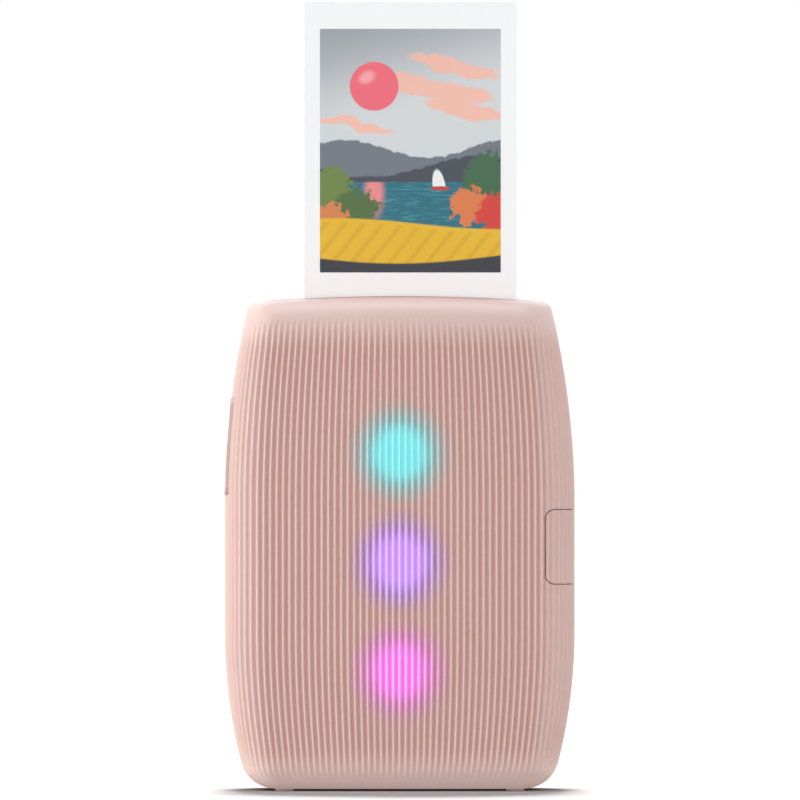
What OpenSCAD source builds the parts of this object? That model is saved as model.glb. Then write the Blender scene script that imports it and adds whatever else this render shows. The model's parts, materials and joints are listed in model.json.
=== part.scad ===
// Compact photo printer, in mm. +X is the right-hand side seen from the front, the
// ribbed front faces -Y, and Z=0 is the table under the feet.

/* [Body] */
// Room in the body beside the film pack, on the left and right together
room_beside = 25.5; // [25:0.5:30]
// Room over the film pack, for the exposure head, rollers and top wall
room_above = 26.4; // [26:0.2:30]
// Room between the film pack and the bottom wall
room_below = 5.4; // [4.4:0.1:6]
// Front to back
body_d = 34.6; // [34:0.2:40]
// Height where the lower flank curve starts
flank_low_z = 40; // [34:1:46]
// Height where the upper flank curve starts
flank_high_z = 72; // [72:1:78]
// Radius of the lower flank
flank_low_r = 133; // [125:1:160]
// Radius of the upper flank
flank_high_r = 217; // [205:1:260]
// Rounding of the bottom corners, seen from the front
base_corner_r = 9; // [7:0.5:11]
// Rounding of the top corners, seen from the front
top_corner_r = 3; // [2:0.25:5]
// Radius of the arched top edge
top_arch_r = 500; // [400:10:700]
// Rounding of the front's vertical edges
front_corner_r = 10.2; // [8:0.2:12]
// Rounding of the rear's vertical edges
rear_corner_r = 8; // [6:0.2:9]
// Radius of the slightly bowed front
front_crown_r = 480; // [400:10:800]
// Radius of the almost flat rear
rear_crown_r = 2400; // [1800:100:4000]
// Lean of the side walls towards each face, degrees
side_draft = 1.2; // [0.8:0.1:2]
// Rounding between the front and the top
front_top_r = 5.4; // [4:0.2:6]
// Rounding between the front and the bottom
front_base_r = 6; // [4:0.25:7]
// Rounding between the rear and the top
rear_top_r = 4; // [3:0.25:5]
// Rounding between the rear and the bottom
rear_base_r = 4; // [3:0.25:5]
// Thickness of the cases' walls
wall = 2.2; // [2:0.1:2.4]
// Where the front and rear cases meet
part_y = 1.4; // [1.3:0.1:1.6]

/* [Ribs] */
// Distance from rib to rib
flute_pitch = 1.63; // [1.6:0.05:2]
// Depth of the hollows between the ribs
flute_depth = 0.5; // [0.3:0.05:0.6]

/* [Film] */
// Width of one sheet
sheet_w = 54; // [53:0.5:54]
// Height of one sheet
sheet_h = 86; // [84:0.5:86]
// Thickness of one sheet
sheet_t = 0.6; // [0.5:0.05:0.7]
// How far the film path lies to the right of the middle
film_x = 2.7; // [2.4:0.1:3]
// How much of the print stands out of the top
print_shown = 75; // [70:1:78]
// Width of the film pack beside the sheets, on the left and right together
pack_sides = 9.5; // [9:0.25:10]
// Height of the film pack over the sheets
pack_head = 3; // [2.6:0.1:3.4]
// Floor of the film pack, under the sheets
pack_floor = 2; // [1.6:0.1:2.4]
// Outer thickness of the film pack
pack_d = 12; // [11.8:0.1:12.2]

/* [Rollers and gears] */
// Radius of the two spreader rollers
roller_r = 3.5; // [3.3:0.1:3.7]
// Diameter of the roller shafts
shaft_d = 2.5; // [2:0.1:2.8]
// Gear module
gear_m = 0.55; // [0.54:0.005:0.56]
// Teeth on each roller gear
roller_teeth = 14; // [14:1:14]
// Teeth on the idler
idler_teeth = 24; // [22:1:24]
// Teeth on the motor pinion
pinion_teeth = 10; // [10:1:11]
// Thickness of the gears
gear_t = 2.2; // [1.8:0.1:2.6]
// Thickness of the steel roller brackets
bracket_t = 1.2; // [1:0.1:1.3]

/* [Film door] */
// Width of the door beside the film pack, on the left and right together
door_beside = 9; // [7.5:0.25:9.5]
// Height of the door's opening over the film pack
door_above = 3.3; // [1:0.1:4]
// Rounding of the door's corners
door_corner_r = 4; // [3:0.5:6]
// Diameter of the door's hinge pins
hinge_pin_d = 1.2; // [1:0.1:1.3]
// Travel of the door latch
latch_travel = 2; // [1.5:0.1:2.5]

/* [Port cover and buttons] */
// Bottom edge of the port cover
port_z = 52.5; // [50:0.5:53]
// Height of the port cover
port_h = 18.7; // [18:0.1:19]
// Front edge of the port cover, from the middle
port_x = 37; // [36.5:0.1:37.5]
// Rounding of the port cover's corners
port_corner_r = 2.3; // [1.5:0.1:2.6]
// Thickness of the port cover
port_t = 1.6; // [1.4:0.1:1.7]
// Length of the power button
power_l = 24.7; // [22:0.5:26]
// Width of the power button
power_w = 4.2; // [3.6:0.1:4.6]
// Bottom of the power button
power_z = 75; // [74:0.5:76]
// Travel of the power and reset buttons
button_travel = 0.5; // [0.3:0.05:0.5]
// Diameter of the reset button
reset_d = 2.2; // [1.8:0.1:2.4]

/* [Lights and boards] */
// Height of the lowest light
light_z = 30.4; // [28:0.5:34]
// Distance from light to light
light_pitch = 27.6; // [24:0.4:29]
// Thickness of the circuit boards
board_t = 1.2; // [1:0.1:1.4]
// Thickness of the light guide
guide_t = 1.6; // [1.2:0.1:1.8]
// Battery thickness
battery_t = 6; // [5:0.25:6.5]

/* [Feet] */
// How far the rubber feet stand out of the base
foot_h = 0.4; // [0.3:0.1:0.8]
// Diameter of the feet
foot_d = 4.6; // [4:0.2:5]
// Spacing of the feet across the body
foot_span = 58.6; // [54:0.2:59]

/* [Hidden] */

// Clearances
seam = 0.25; // around covers and buttons
running = 0.04; // round shafts and pins, on the radius
touch = 0.05; // between a roller and the sheet
loose = 0.3; // round the pack and the sheets
past = 1; // how far a cutter runs past the solid

pack_w = sheet_w + pack_sides;
pack_h = pack_floor + sheet_h + pack_head;
half_w = (pack_w + room_beside) / 2;
face_front = -body_d / 2;
face_rear = body_d / 2;
base_z = foot_h;
floor_z = base_z + wall;
pack_z = floor_z + room_below;
pack_top = pack_z + pack_h;
crown_z = pack_top + room_above;
round_fn = 32;

function clamp01(t) = max(0, min(1, t));
function smooth(t) = let (c = clamp01(t)) c * c * (3 - 2 * c);
function lerp(a, b, t) = a + (b - a) * t;
function degrees(arc, r) = arc / r * 180 / PI;

// ---- Front outline: straight middle, two flank arcs, round corners, arched top ----

low_centre = [half_w - flank_low_r, flank_low_z];
high_centre = [half_w - flank_high_r, flank_high_z];
arch_centre = [0, crown_z - top_arch_r];
base_centre_z = base_z + base_corner_r;
base_centre = [low_centre[0] + sqrt(pow(flank_low_r - base_corner_r, 2) - pow(flank_low_z - base_centre_z, 2)),
    base_centre_z];
base_join_z = flank_low_z
    - flank_low_r * (flank_low_z - base_centre_z) / (flank_low_r - base_corner_r);

// Crossing of two circles, on the +X side
function crossing(c0, r0, c1, r1) =
    let (d = norm(c1 - c0), a = (r0 * r0 - r1 * r1 + d * d) / (2 * d))
    let (u = (c1 - c0) / d, mid = c0 + u * a, side = [-u[1], u[0]] * sqrt(r0 * r0 - a * a))
    (mid + side)[0] > (mid - side)[0] ? mid + side : mid - side;

top_centre = crossing(high_centre, flank_high_r - top_corner_r, arch_centre, top_arch_r - top_corner_r);
top_start = atan2(top_centre[1] - high_centre[1], top_centre[0] - high_centre[0]);
top_end = atan2(top_centre[1] - arch_centre[1], top_centre[0] - arch_centre[0]);

function arch_z(x) = arch_centre[1] + sqrt(top_arch_r * top_arch_r - x * x);
function flank_x(z) =
    z < base_join_z ? base_centre[0] + sqrt(max(0, pow(base_corner_r, 2) - pow(base_centre[1] - z, 2))) :
    z < flank_low_z ? low_centre[0] + sqrt(pow(flank_low_r, 2) - pow(flank_low_z - z, 2)) :
    z < flank_high_z ? half_w :
    high_centre[0] + sqrt(pow(flank_high_r, 2) - pow(z - flank_high_z, 2));
function top_x(t) = top_centre[0] + top_corner_r * cos(lerp(top_start, top_end, t));
function top_z(t) = top_centre[1] + top_corner_r * sin(lerp(top_start, top_end, t));

// ---- Plan of one half, from the middle of its face to the parting plane ----
// A half is [depth, corner radius, crown radius, top radius, base radius].

front_half = [part_y - face_front, front_corner_r, front_crown_r, front_top_r, front_base_r];
rear_half = [face_rear - part_y, rear_corner_r, rear_crown_r, rear_top_r, rear_base_r];

function turn(h) = asin((half_w - h[1]) / (h[2] - h[1]));
function crown_len(h) = h[2] * turn(h) * PI / 180;
function corner_len(h) = h[1] * (90 - side_draft - turn(h)) * PI / 180;
function corner_depth(h) =
    h[0] - h[2] * (1 - cos(turn(h))) - h[1] * (cos(turn(h)) - sin(side_draft));
function plan_len(h) = crown_len(h) + corner_len(h) + corner_depth(h) / cos(side_draft);

// [x, depth from the parting, heading] at arc length s
function plan_at(h, s) =
    let (f = s < crown_len(h) ? degrees(s, h[2]) : min(90 - side_draft, turn(h) + degrees(s - crown_len(h), h[1])))
    let (past_corner = max(0, s - crown_len(h) - corner_len(h)), c = min(f, turn(h)))
    [h[2] * sin(c) + h[1] * (sin(f) - sin(c)) + past_corner * cos(f),
     h[0] - h[2] * (1 - cos(c)) - h[1] * (cos(c) - cos(f)) - past_corner * sin(f), f];

// Samples along a half: [share of the half width, depth, heading, hollow]
function samples(h, stations, hollows) =
    let (side = [for (k = [0 : len(stations) - 1])
        let (p = plan_at(h, stations[k])) [p[0] / plan_at(h, plan_len(h))[0], p[1], p[2], hollows[k]]])
    concat([for (k = [len(side) - 1 : -1 : 1]) [-side[k][0], side[k][1], -side[k][2], side[k][3]]], side);

// Each flute: a narrow rib, then a rounded hollow
flute_profile = [[0, 0], [0.26, 0.3], [0.5, 1], [0.8, 1]];
flute_points = len(flute_profile);
flute_count = round(plan_len(front_half) / flute_pitch);
flute_keys = [for (k = [0 : flute_count * flute_points])
    [floor(k / flute_points) + flute_profile[k % flute_points][0], flute_profile[k % flute_points][1]]];
fluted_samples = samples(front_half,
    [for (k = flute_keys) k[0] * plan_len(front_half) / flute_count], [for (k = flute_keys) k[1]]);

function smooth_stations(h) = concat([0, crown_len(h) / 2, crown_len(h)],
    [for (t = [1 : 6]) crown_len(h) + corner_len(h) * t / 6], [plan_len(h)]);
function plain_samples(h) = samples(h, smooth_stations(h), [for (s = smooth_stations(h)) 0]);
// Inner samples carry a full hollow, so that the inset moves them in along the wall's normal
function inner_samples(h) = samples(h, smooth_stations(h), [for (s = smooth_stations(h)) 1]);

// The ribs stay evenly spread where the barrel narrows, more gently towards the middle
function barrel_x(v, w) =
    let (hold = 0.67 + 0.33 * pow(abs(v), 8)) v * half_w * (1 - (1 - w / half_w) * hold);

// side is -1 in front of the parting and 1 behind it; dent pulls the face back; inset moves in
function ring_point(h, side, p, x, z, dent, inset) =
    [x - inset * p[3] * sin(p[2]),
     part_y + side * (p[1] * (h[0] - dent) / h[0] - inset * p[3] * cos(p[2])), z];
function ring(h, side, pts, z, dent, inset) =
    [for (p = pts) ring_point(h, side, p, barrel_x(p[0], flank_x(z)), z, dent, inset)];

function base_dent(h, up) = up < h[4] ? h[4] - sqrt(h[4] * h[4] - pow(h[4] - up, 2)) : 0;
function base_ring(h, side, pts, z, inset) = ring(h, side, pts, z, base_dent(h, z - base_z), inset);
flute_fade = 5;
function flute_at(up) = flute_depth * smooth((up - flute_fade / 3) / flute_fade);

base_levels = [for (a = [0, 24, 46]) base_z + base_corner_r * (1 - cos(a))];
flank_levels = [base_join_z, 14, 26, flank_low_z, flank_high_z, 90, 106, 115];

// Rings over the top edge: t runs from the flank round the top corner onto the arch
function over_top(h, side, p, t, inset) =
    let (x = barrel_x(p[0], top_x(t)), edge = pow(abs(p[2]) / (90 - side_draft), 2))
    let (drop = lerp(h[3] * (1 - sin(90 * t)), arch_z(top_x(t)) - top_z(t), edge))
    ring_point(h, side, p, x, arch_z(x) - drop, h[3] * (1 - cos(90 * t)), inset);
top_steps = [0, 0.33, 0.67, 1];

function outer_rings(h, side, pts, depth) = concat(
    [for (z = concat(base_levels, flank_levels)) base_ring(h, side, pts, z, depth * flute_at(z - base_z))],
    [for (t = top_steps) [for (p = pts) over_top(h, side, p, t, t == 0 ? depth * flute_depth / 3 : 0)]]);

// Inside of a half: the same form moved in by inset, run past the parting plane by extra
function inner_rings(h, side, inset, extra) =
    let (pts = inner_samples(h), top = crown_z - h[3])
    [for (r = concat([base_ring(h, side, pts, base_z + inset, inset)],
        [for (z = flank_levels) base_ring(h, side, pts, z, inset)],
        [[for (p = pts) let (x = barrel_x(p[0], flank_x(top))) ring_point(h, side, p, x, arch_z(x) - h[3], 0, inset)],
         [for (p = pts) let (x = barrel_x(p[0], top_x(0))) ring_point(h, side, p, x, arch_z(x) - inset, inset, inset)]]))
        concat([[r[0][0], r[0][1] - side * extra, r[0][2]]], r,
            [[r[len(r) - 1][0], r[len(r) - 1][1] - side * extra, r[len(r) - 1][2]]])];

// Solid through rings that all start and end on one plane across the body
module lofted(rings, side) {
    n = len(rings[0]);
    m = len(rings);
    last = rings[m - 1];
    plane_y = last[0][1];
    points = concat([for (r = rings) each r], [for (k = [1 : n - 2]) [last[k][0], plane_y, last[k][2]]]);
    function top_id(k) = k == 0 ? (m - 1) * n : k == n - 1 ? m * n - 1 : m * n + k - 1;
    function quad(a, b, c, d) = a == d ? [[a, c, b]] : b == c ? [[a, d, b]] : [[a, d, c], [a, c, b]];
    walls = [for (j = [0 : m - 2]) for (k = [0 : n - 2]) each
        quad(j * n + k, j * n + k + 1, (j + 1) * n + k + 1, (j + 1) * n + k)];
    cap = [for (k = [0 : n - 2]) each quad((m - 1) * n + k, (m - 1) * n + k + 1, top_id(k + 1), top_id(k))];
    base = [for (k = [0 : n - 1]) k];
    // The parting face starts half-way up the left side, so that no run of its points is in line
    middle = floor(m / 2);
    flat = concat([for (j = [middle : -1 : 0]) j * n], [for (j = [0 : m - 1]) j * n + n - 1],
        [for (k = [n - 2 : -1 : 1]) top_id(k)], [for (j = [m - 1 : -1 : middle + 1]) j * n]);
    faces = concat(walls, cap, [base, flat]);
    polyhedron(points, side < 0 ? faces : [for (f = faces) [for (k = [len(f) - 1 : -1 : 0]) f[k]]],
        convexity = 10);
}
module front_outer() {
    lofted(outer_rings(front_half, -1, fluted_samples, 1), -1);
}
module rear_outer() {
    lofted(outer_rings(rear_half, 1, plain_samples(rear_half), 0), 1);
}
module inner(h, side, inset) {
    lofted(inner_rings(h, side, inset, past), side);
}
module box(from, to) {
    translate(from) cube(to - from);
}
// A cylinder along X, from x0 to x1
module rod_x(x0, x1, y, z, r) {
    translate([x0, y, z]) rotate([0, 90, 0]) cylinder(r = r, h = x1 - x0, $fn = round_fn);
}
// A cylinder along Y, from y0 to y1
module rod_y(y0, y1, x, z, r) {
    translate([x, y1, z]) rotate([90, 0, 0]) cylinder(r = r, h = y1 - y0, $fn = round_fn);
}
module rod_z(z0, z1, x, y, r) {
    translate([x, y, z0]) cylinder(r = r, h = z1 - z0, $fn = round_fn);
}
// A plate across Y with rounded corners
module rounded_plate(x0, x1, z0, z1, y0, y1, r) {
    box([x0 + r, y0, z0], [x1 - r, y1, z1]);
    box([x0, y0, z0 + r], [x1, y1, z1 - r]);
    for (x = [x0 + r, x1 - r], z = [z0 + r, z1 - r]) rod_y(y0, y1, x, z, r);
}

// ---- Film path ----

film_y = part_y + 0.8;
pack_wall = 0.9;
pack_y = film_y - sheet_t / 2 - loose - pack_wall;
pack_x0 = film_x - pack_w / 2;
pack_x1 = film_x + pack_w / 2;
sheet_x0 = film_x - sheet_w / 2;
sheet_x1 = film_x + sheet_w / 2;
sheet_store_z = pack_z + pack_floor;
print_z = crown_z + print_shown - sheet_h;
slot_y1 = film_y + sheet_t / 2 + 0.5;

// ---- Chassis ----

chassis_t = 1.8;
chassis_y1 = pack_y - loose / 2;
chassis_y0 = chassis_y1 - chassis_t;
chassis_side = 1.6;
chassis_x0 = pack_x0 - loose - chassis_side;
chassis_x1 = pack_x1 + loose + chassis_side;
chassis_back = pack_y + pack_d + loose;
chassis_floor = pack_z - loose / 2;
side_top = pack_top + loose;
head_h = 8.5;
plate_top = side_top + head_h + 1.5;
seat_pitch = 24;
seat_w = 2;

// ---- Boards ----

board_gap = 3.5;
board_h = 80;
board_y1 = chassis_y0 - board_gap;
board_y0 = board_y1 - board_t;
board_x0 = -half_w + 7.5;
board_x1 = half_w - 9.5;
board_z0 = floor_z + 5;
board_z1 = board_z0 + board_h;
post_in = 6;
post_down = 10;
post_xz = [for (x = [board_x0 + post_in, board_x1 - post_in], z = [board_z0 + post_in, board_z1 - post_down]) [x, z]];
post_d = 4;
shoulder_d = 7;
screw_d = 1.9;
screw_head_d = 3.6;
screw_head_t = 1;
screw_l = 7.5;
front_inner_y = face_front + wall;
function crown_drop(x) = front_crown_r - sqrt(front_crown_r * front_crown_r - x * x);
post_y0 = front_inner_y + crown_drop(board_x0 + post_in - post_d / 2) + 0.25;

// ---- Rollers and gears ----

bracket_left_x1 = pack_x0 - loose - 0.05;
bracket_left_x0 = bracket_left_x1 - bracket_t;
bracket_right_x0 = pack_x1 + loose + 0.1;
bracket_right_x1 = bracket_right_x0 + bracket_t;
roller_down = 6.7;
roller_z = crown_z - wall - roller_down;
roller_gap = sheet_t / 2 + touch;
drive_y = film_y - roller_gap - roller_r;
pinch_y = film_y + roller_gap + roller_r;
roller_over = 1;
// The roller gears' teeth are cut so that their pitch circles meet between the two shafts
roller_m = (pinch_y - drive_y) / roller_teeth;
idler_r = idler_teeth * gear_m / 2;
pinion_r = pinion_teeth * gear_m / 2;
idler_lean = 24.6;
idler_reach = (pinch_y - drive_y) / 2 + idler_r;
idler_y = drive_y - idler_reach * sin(idler_lean);
idler_z = roller_z - idler_reach * cos(idler_lean);
pinion_lean = 18.7;
pinion_y = idler_y - (idler_r + pinion_r) * sin(pinion_lean);
pinion_z = idler_z - (idler_r + pinion_r) * cos(pinion_lean);
gear_x1 = bracket_left_x0 - 0.4;
gear_x0 = gear_x1 - gear_t;
bracket_top = roller_z + 3.4;
bracket_back = chassis_back - 2;
motor_w = 9.6;
motor_r = 6;
motor_l = 20;
motor_shaft_d = 1.5;
motor_shaft_in = 5;
stud_d = 1.6;
stud_head = 0.3;
bracket_front = pinion_y - motor_w / 2;
bracket_low = pinion_z - motor_r - 3;
bracket_lead = 4;

// ---- Exposure head ----

head_z0 = side_top + 1;
head_z1 = head_z0 + head_h;
lens_in = 2.5;
lens_y0 = film_y + sheet_t / 2 + 0.15;
head_y0 = lens_y0 + 0.8;
head_y1 = pack_y + pack_d - 0.6;

// ---- Lights ----

light_w = 3.5;
light_h = 2.8;
light_t = 1.9;
guide_y0 = front_inner_y + 0.15;
guide_y1 = guide_y0 + guide_t;
strip_w = 12;
strip_over = 9.5;
strip_t = 1;
spacer_d = 3;
light_zs = [for (k = [0 : 2]) light_z + k * light_pitch];
strip_z0 = light_zs[0] - strip_over;
strip_z1 = light_zs[2] + strip_over;
spacer_zs = [for (k = [0 : 1]) light_zs[k] + light_pitch / 2];
strip_board_y0 = guide_y1 + light_t;
strip_board_y1 = strip_board_y0 + strip_t;

// ---- Port cover ----

port_hinge_y = chassis_y0 - 2.3;
port_hinge_x = half_w - 1.2;
port_knuckle_r = 1.1;
port_knuckle_gap = 0.15;
port_pin_d = 1;
port_pin_l = 1;
pocket_t = port_t + 0.3;
port_block_x = half_w - 9;
port_block_y1 = chassis_y0 - 0.3;
// What stands behind the port cover stays clear of its curved corner
port_inner_x = half_w - port_t - 1.1;
usb_w = 9;
usb_t = 3.2;
usb_l = 8;
usb_wall = 0.3;
usb_gap = 0.1;
usb_x1 = port_inner_x;
usb_x0 = usb_x1 - usb_l;
usb_z = port_z + 6.5;
usb_y = board_y0 - usb_t / 2;
reset_y = board_y0 - 1.85;
reset_z = port_z + port_h - 3.9;
reset_x1 = port_inner_x;
reset_flange_d = reset_d + 1.2;
reset_flange_x = port_block_x - 0.1;
reset_flange_t = 0.75;
tact = [3, 3, 4];
plunger_d = 1.6;
plunger_l = 0.8;

battery_x0 = 10;
battery_x1 = board_x1 - 2;
battery_z0 = board_z0 + 17;
battery_z1 = reset_z - tact[2] / 2 - 1.3;
battery_r = 1.5;

// Chips on the board: place from its lower left corner, width, height and thickness
chips = [[10, 16.4, 9, 9, 1.2], [24, 20.4, 6, 6, 1], [11, 30.4, 5, 4, 1], [25, 6.4, 10, 5, 3],
    [51, 72.4, 8, 4, 2.2]];
shield_x0 = board_x0 + 9;
shield_z0 = board_z0 + 38.4;
shield_w = 16;
shield_h = 20;
shield_t = 2;

// ---- Power button ----

power_y = board_y0 - 1.6;
power_top = power_z + power_l;
power_proud = 0.45;
power_slot_r = power_w / 2 + seam;
power_flange = 0.9;
power_flange_t = 0.7;
// A line inside the wall behind the button, clear of the corner that curves in beside it
function power_inner(z) = -flank_x(z) + wall + 0.75;
power_stem_x1 = -half_w + 4.75;
power_stem_z = board_z1 - 3;
power_stem_d = 2.4;
power_switch_x0 = power_stem_x1 + button_travel + 0.1 + plunger_l;

// ---- Film door ----

ledge = 1.5;
door_x1 = (pack_w + door_beside) / 2;
door_x0 = -door_x1;
door_z0 = pack_z - 0.2 - ledge;
door_z1 = pack_top + door_above + ledge;
door_y0 = face_rear - wall;
ledge_y0 = door_y0 - ledge;
hinge_x = door_x0 - 1.35;
hinge_y = face_rear - 1.5;
knuckle_r = 1.3;
knuckle_gap = 0.2;
knuckle_l = 8;
knuckle_in = 12;
knuckle_zs = [door_z0 + knuckle_in, door_z1 - knuckle_in - knuckle_l];
// The door's edge is hollowed so that it turns past the corner of the opening
door_swing_r = norm([door_x0 - seam - hinge_x, face_rear - hinge_y]) + 0.09;
pin_hold = 2;
window_x = film_x - 14;
window_w = 5;
window_h = 16;
door_middle_z = (door_z0 + door_z1) / 2;
window_z = door_middle_z - window_h / 2;
window_lip = 1;
window_lip_t = 0.8;
spring_w = 8;
spring_t = 0.4;
spring_x = 12;
spring_z = pack_z + pack_h / 2;
spring_l = 24;
spring_flat = 8;
stack_y0 = film_y + sheet_t / 2 + 0.25;
stack_y1 = pack_y + pack_d - 2.7;
spring_tip_y = stack_y1 + 0.1;
hole_margin = 2;
latch_x1 = door_x1 - ledge - 0.1;
latch_l = 11;
latch_w = 18;
latch_z = door_middle_z;
tongue_l = 1;
tongue_w = 6;
latch_t = 0.9;
latch_y1 = door_y0 - running;
thumb_w = 4;
thumb_h = 10;
thumb_x1 = latch_x1 - 2.6;
grip_pitch = 1.2;
grip_r = 0.4;
rail_t = 1;
rail_lip = 0.8;

// ---- Ejection claw ----

claw_t = 0.6;
claw_w = 5;
claw_l = 30;
claw_hook = 5.9;
claw_hook_t = 1;
claw_travel = 6;
claw_x1 = pack_x0 - 0.1;
claw_x0 = claw_x1 - claw_t;
claw_y0 = pack_y + 0.4;
claw_z0 = sheet_store_z - claw_hook_t - 0.2;
claw_gap = 0.2;
notch_h = claw_travel + 6.5;

// ---- Feet ----

foot_depth = 0.8;
foot_ys = [face_front + 9.8, face_rear - 7.8];

module front_case() color([0.86, 0.70, 0.67]) difference() {
    front_outer();
    difference() {
        inner(front_half, -1, wall);
        box([port_block_x, face_front - past, port_z - wall], [half_w + past, port_block_y1, port_z + port_h + wall]);
    }
    port_pocket();
    power_slot();
    foot_recesses();
    box([usb_x0 - past, usb_y - usb_t / 2 - usb_gap, usb_z - usb_w / 2 - usb_gap],
        [half_w, usb_y + usb_t / 2 + usb_gap, usb_z + usb_w / 2 + usb_gap]);
    rod_x(port_block_x - past, half_w, reset_y, reset_z, reset_d / 2 + running);
}
// Window of the port cover, grown by a gap on its three free edges
module port_window(gap) {
    y0 = face_front - past;
    r = port_corner_r + gap;
    x0 = port_x - gap;
    z0 = port_z - gap;
    z1 = port_z + port_h + gap;
    box([x0, y0, z0 + r], [half_w + past, port_hinge_y, z1 - r]);
    box([x0 + r, y0, z0], [half_w + past, port_hinge_y, z1]);
    for (z = [z0 + r, z1 - r]) rod_y(y0, face_front + front_corner_r, x0 + r, z, r);
}
// Section of the ribbed corner, port_t thick, where the barrel is straight
function port_skin() =
    let (share = (port_x - 2 * flute_pitch) / half_w, inside = inner_samples(front_half))
    let (outer = [for (p = fluted_samples) if (p[0] > share) straight_point(p, flute_depth)])
    let (inner = [for (p = inside) if (p[0] > share) straight_point(p, port_t)])
    concat(outer, [for (k = [len(inner) - 1 : -1 : 0]) inner[k]]);
function straight_point(p, inset) =
    let (q = ring_point(front_half, -1, p, p[0] * half_w, 0, 0, inset)) [q[0], q[1]];
module port_pocket() {
    difference() {
        port_window(seam);
        inner(front_half, -1, pocket_t);
    }
    rod_z(port_z - seam, port_z + port_h + seam, port_hinge_x, port_hinge_y, port_knuckle_r + port_knuckle_gap);
    box([port_hinge_x, port_hinge_y - past, port_z - seam],
        [half_w + past, port_hinge_y + port_knuckle_r + port_knuckle_gap, port_z + port_h + seam]);
    rod_z(port_z - port_pin_l - seam, port_z + port_h + port_pin_l + seam, port_hinge_x, port_hinge_y,
        port_pin_d / 2 + running);
}
module port_cover() color([0.86, 0.70, 0.67]) {
    intersection() {
        translate([0, 0, flank_low_z]) linear_extrude(flank_high_z - flank_low_z) polygon(port_skin());
        port_window(0);
    }
    rod_z(port_z, port_z + port_h, port_hinge_x, port_hinge_y, port_knuckle_r);
    rod_z(port_z - port_pin_l, port_z + port_h + port_pin_l, port_hinge_x, port_hinge_y, port_pin_d / 2);
}
module power_pill(r, x0, x1) {
    box([x0, power_y - r, power_z + power_w / 2], [x1, power_y + r, power_top - power_w / 2]);
    for (z = [power_z + power_w / 2, power_top - power_w / 2]) rod_x(x0, x1, power_y, z, r);
}
module power_slot() {
    power_pill(power_slot_r, -half_w - past, -half_w + 9);
}
module power_button() color([0.84, 0.68, 0.65]) {
    intersection() {
        power_pill(power_w / 2, -half_w - past, -half_w + 9);
        across_y([[-flank_x(power_z) - power_proud, power_z - past], [-flank_x(power_top) - 0.05, power_top + past],
            [power_inner(power_top) + power_flange_t, power_top + past],
            [power_inner(power_z) + power_flange_t, power_z - past]], power_y - power_w, power_y + power_w);
    }
    across_y([[power_inner(power_z - power_flange), power_z - power_flange],
        [power_inner(power_top + power_flange), power_top + power_flange],
        [power_inner(power_top + power_flange) + power_flange_t, power_top + power_flange],
        [power_inner(power_z - power_flange) + power_flange_t, power_z - power_flange]],
        power_y - power_w / 4, power_y + power_w / 2 + power_flange);
    rod_x(power_inner(power_stem_z), power_stem_x1, power_y, power_stem_z, power_stem_d / 2);
}
// Prism along Y over a polygon in X and Z
module across_y(points, y0, y1) {
    translate([0, y1, 0]) rotate([90, 0, 0]) linear_extrude(y1 - y0) polygon(points);
}
// Prism along X over a polygon in Y and Z
module across_x(points, x0, x1) {
    translate([x0, 0, 0]) rotate([90, 0, 90]) linear_extrude(x1 - x0) polygon(points);
}
module foot_discs(r) {
    for (x = [-foot_span / 2, foot_span / 2], y = foot_ys) rod_z(0, base_z + foot_depth, x, y, r);
}
module foot_recesses() {
    foot_discs(foot_d / 2);
}
module feet() color([0.75, 0.62, 0.6]) foot_discs(foot_d / 2);

module rear_case() color([0.88, 0.72, 0.69]) difference() {
    rear_outer();
    difference() {
        inner(rear_half, 1, wall);
        box([door_x0 - 5, ledge_y0, door_z0 - 3], [door_x1 + 4, face_rear, door_z1 + 3]);
    }
    rounded_plate(door_x0 + ledge, door_x1 - ledge, door_z0 + ledge, door_z1 - ledge,
        ledge_y0 - past, face_rear + past, door_corner_r);
    rounded_plate(door_x0 - seam, door_x1 + seam, door_z0 - seam, door_z1 + seam,
        door_y0 - running, face_rear + past, door_corner_r + seam);
    box([sheet_x0 - past, part_y - past, roller_z + roller_r], [sheet_x1 + past, slot_y1, crown_z + past]);
    for (z = knuckle_zs) {
        rod_z(z - loose, z + knuckle_l + loose, hinge_x, hinge_y, knuckle_r + knuckle_gap);
        box([hinge_x - knuckle_r - knuckle_gap, hinge_y, z - loose], [door_x0 + ledge, face_rear + past, z + knuckle_l + loose]);
        box([hinge_x, ledge_y0 - past, z - loose], [door_x0 + ledge + past, face_rear, z + knuckle_l + loose]);
        rod_z(z - pin_hold, z + knuckle_l + pin_hold, hinge_x, hinge_y, hinge_pin_d / 2);
    }
    foot_recesses();
}
module hinge_pins() color([0.7, 0.7, 0.72])
    for (z = knuckle_zs) rod_z(z - pin_hold, z + knuckle_l + pin_hold, hinge_x, hinge_y, hinge_pin_d / 2);

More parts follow.
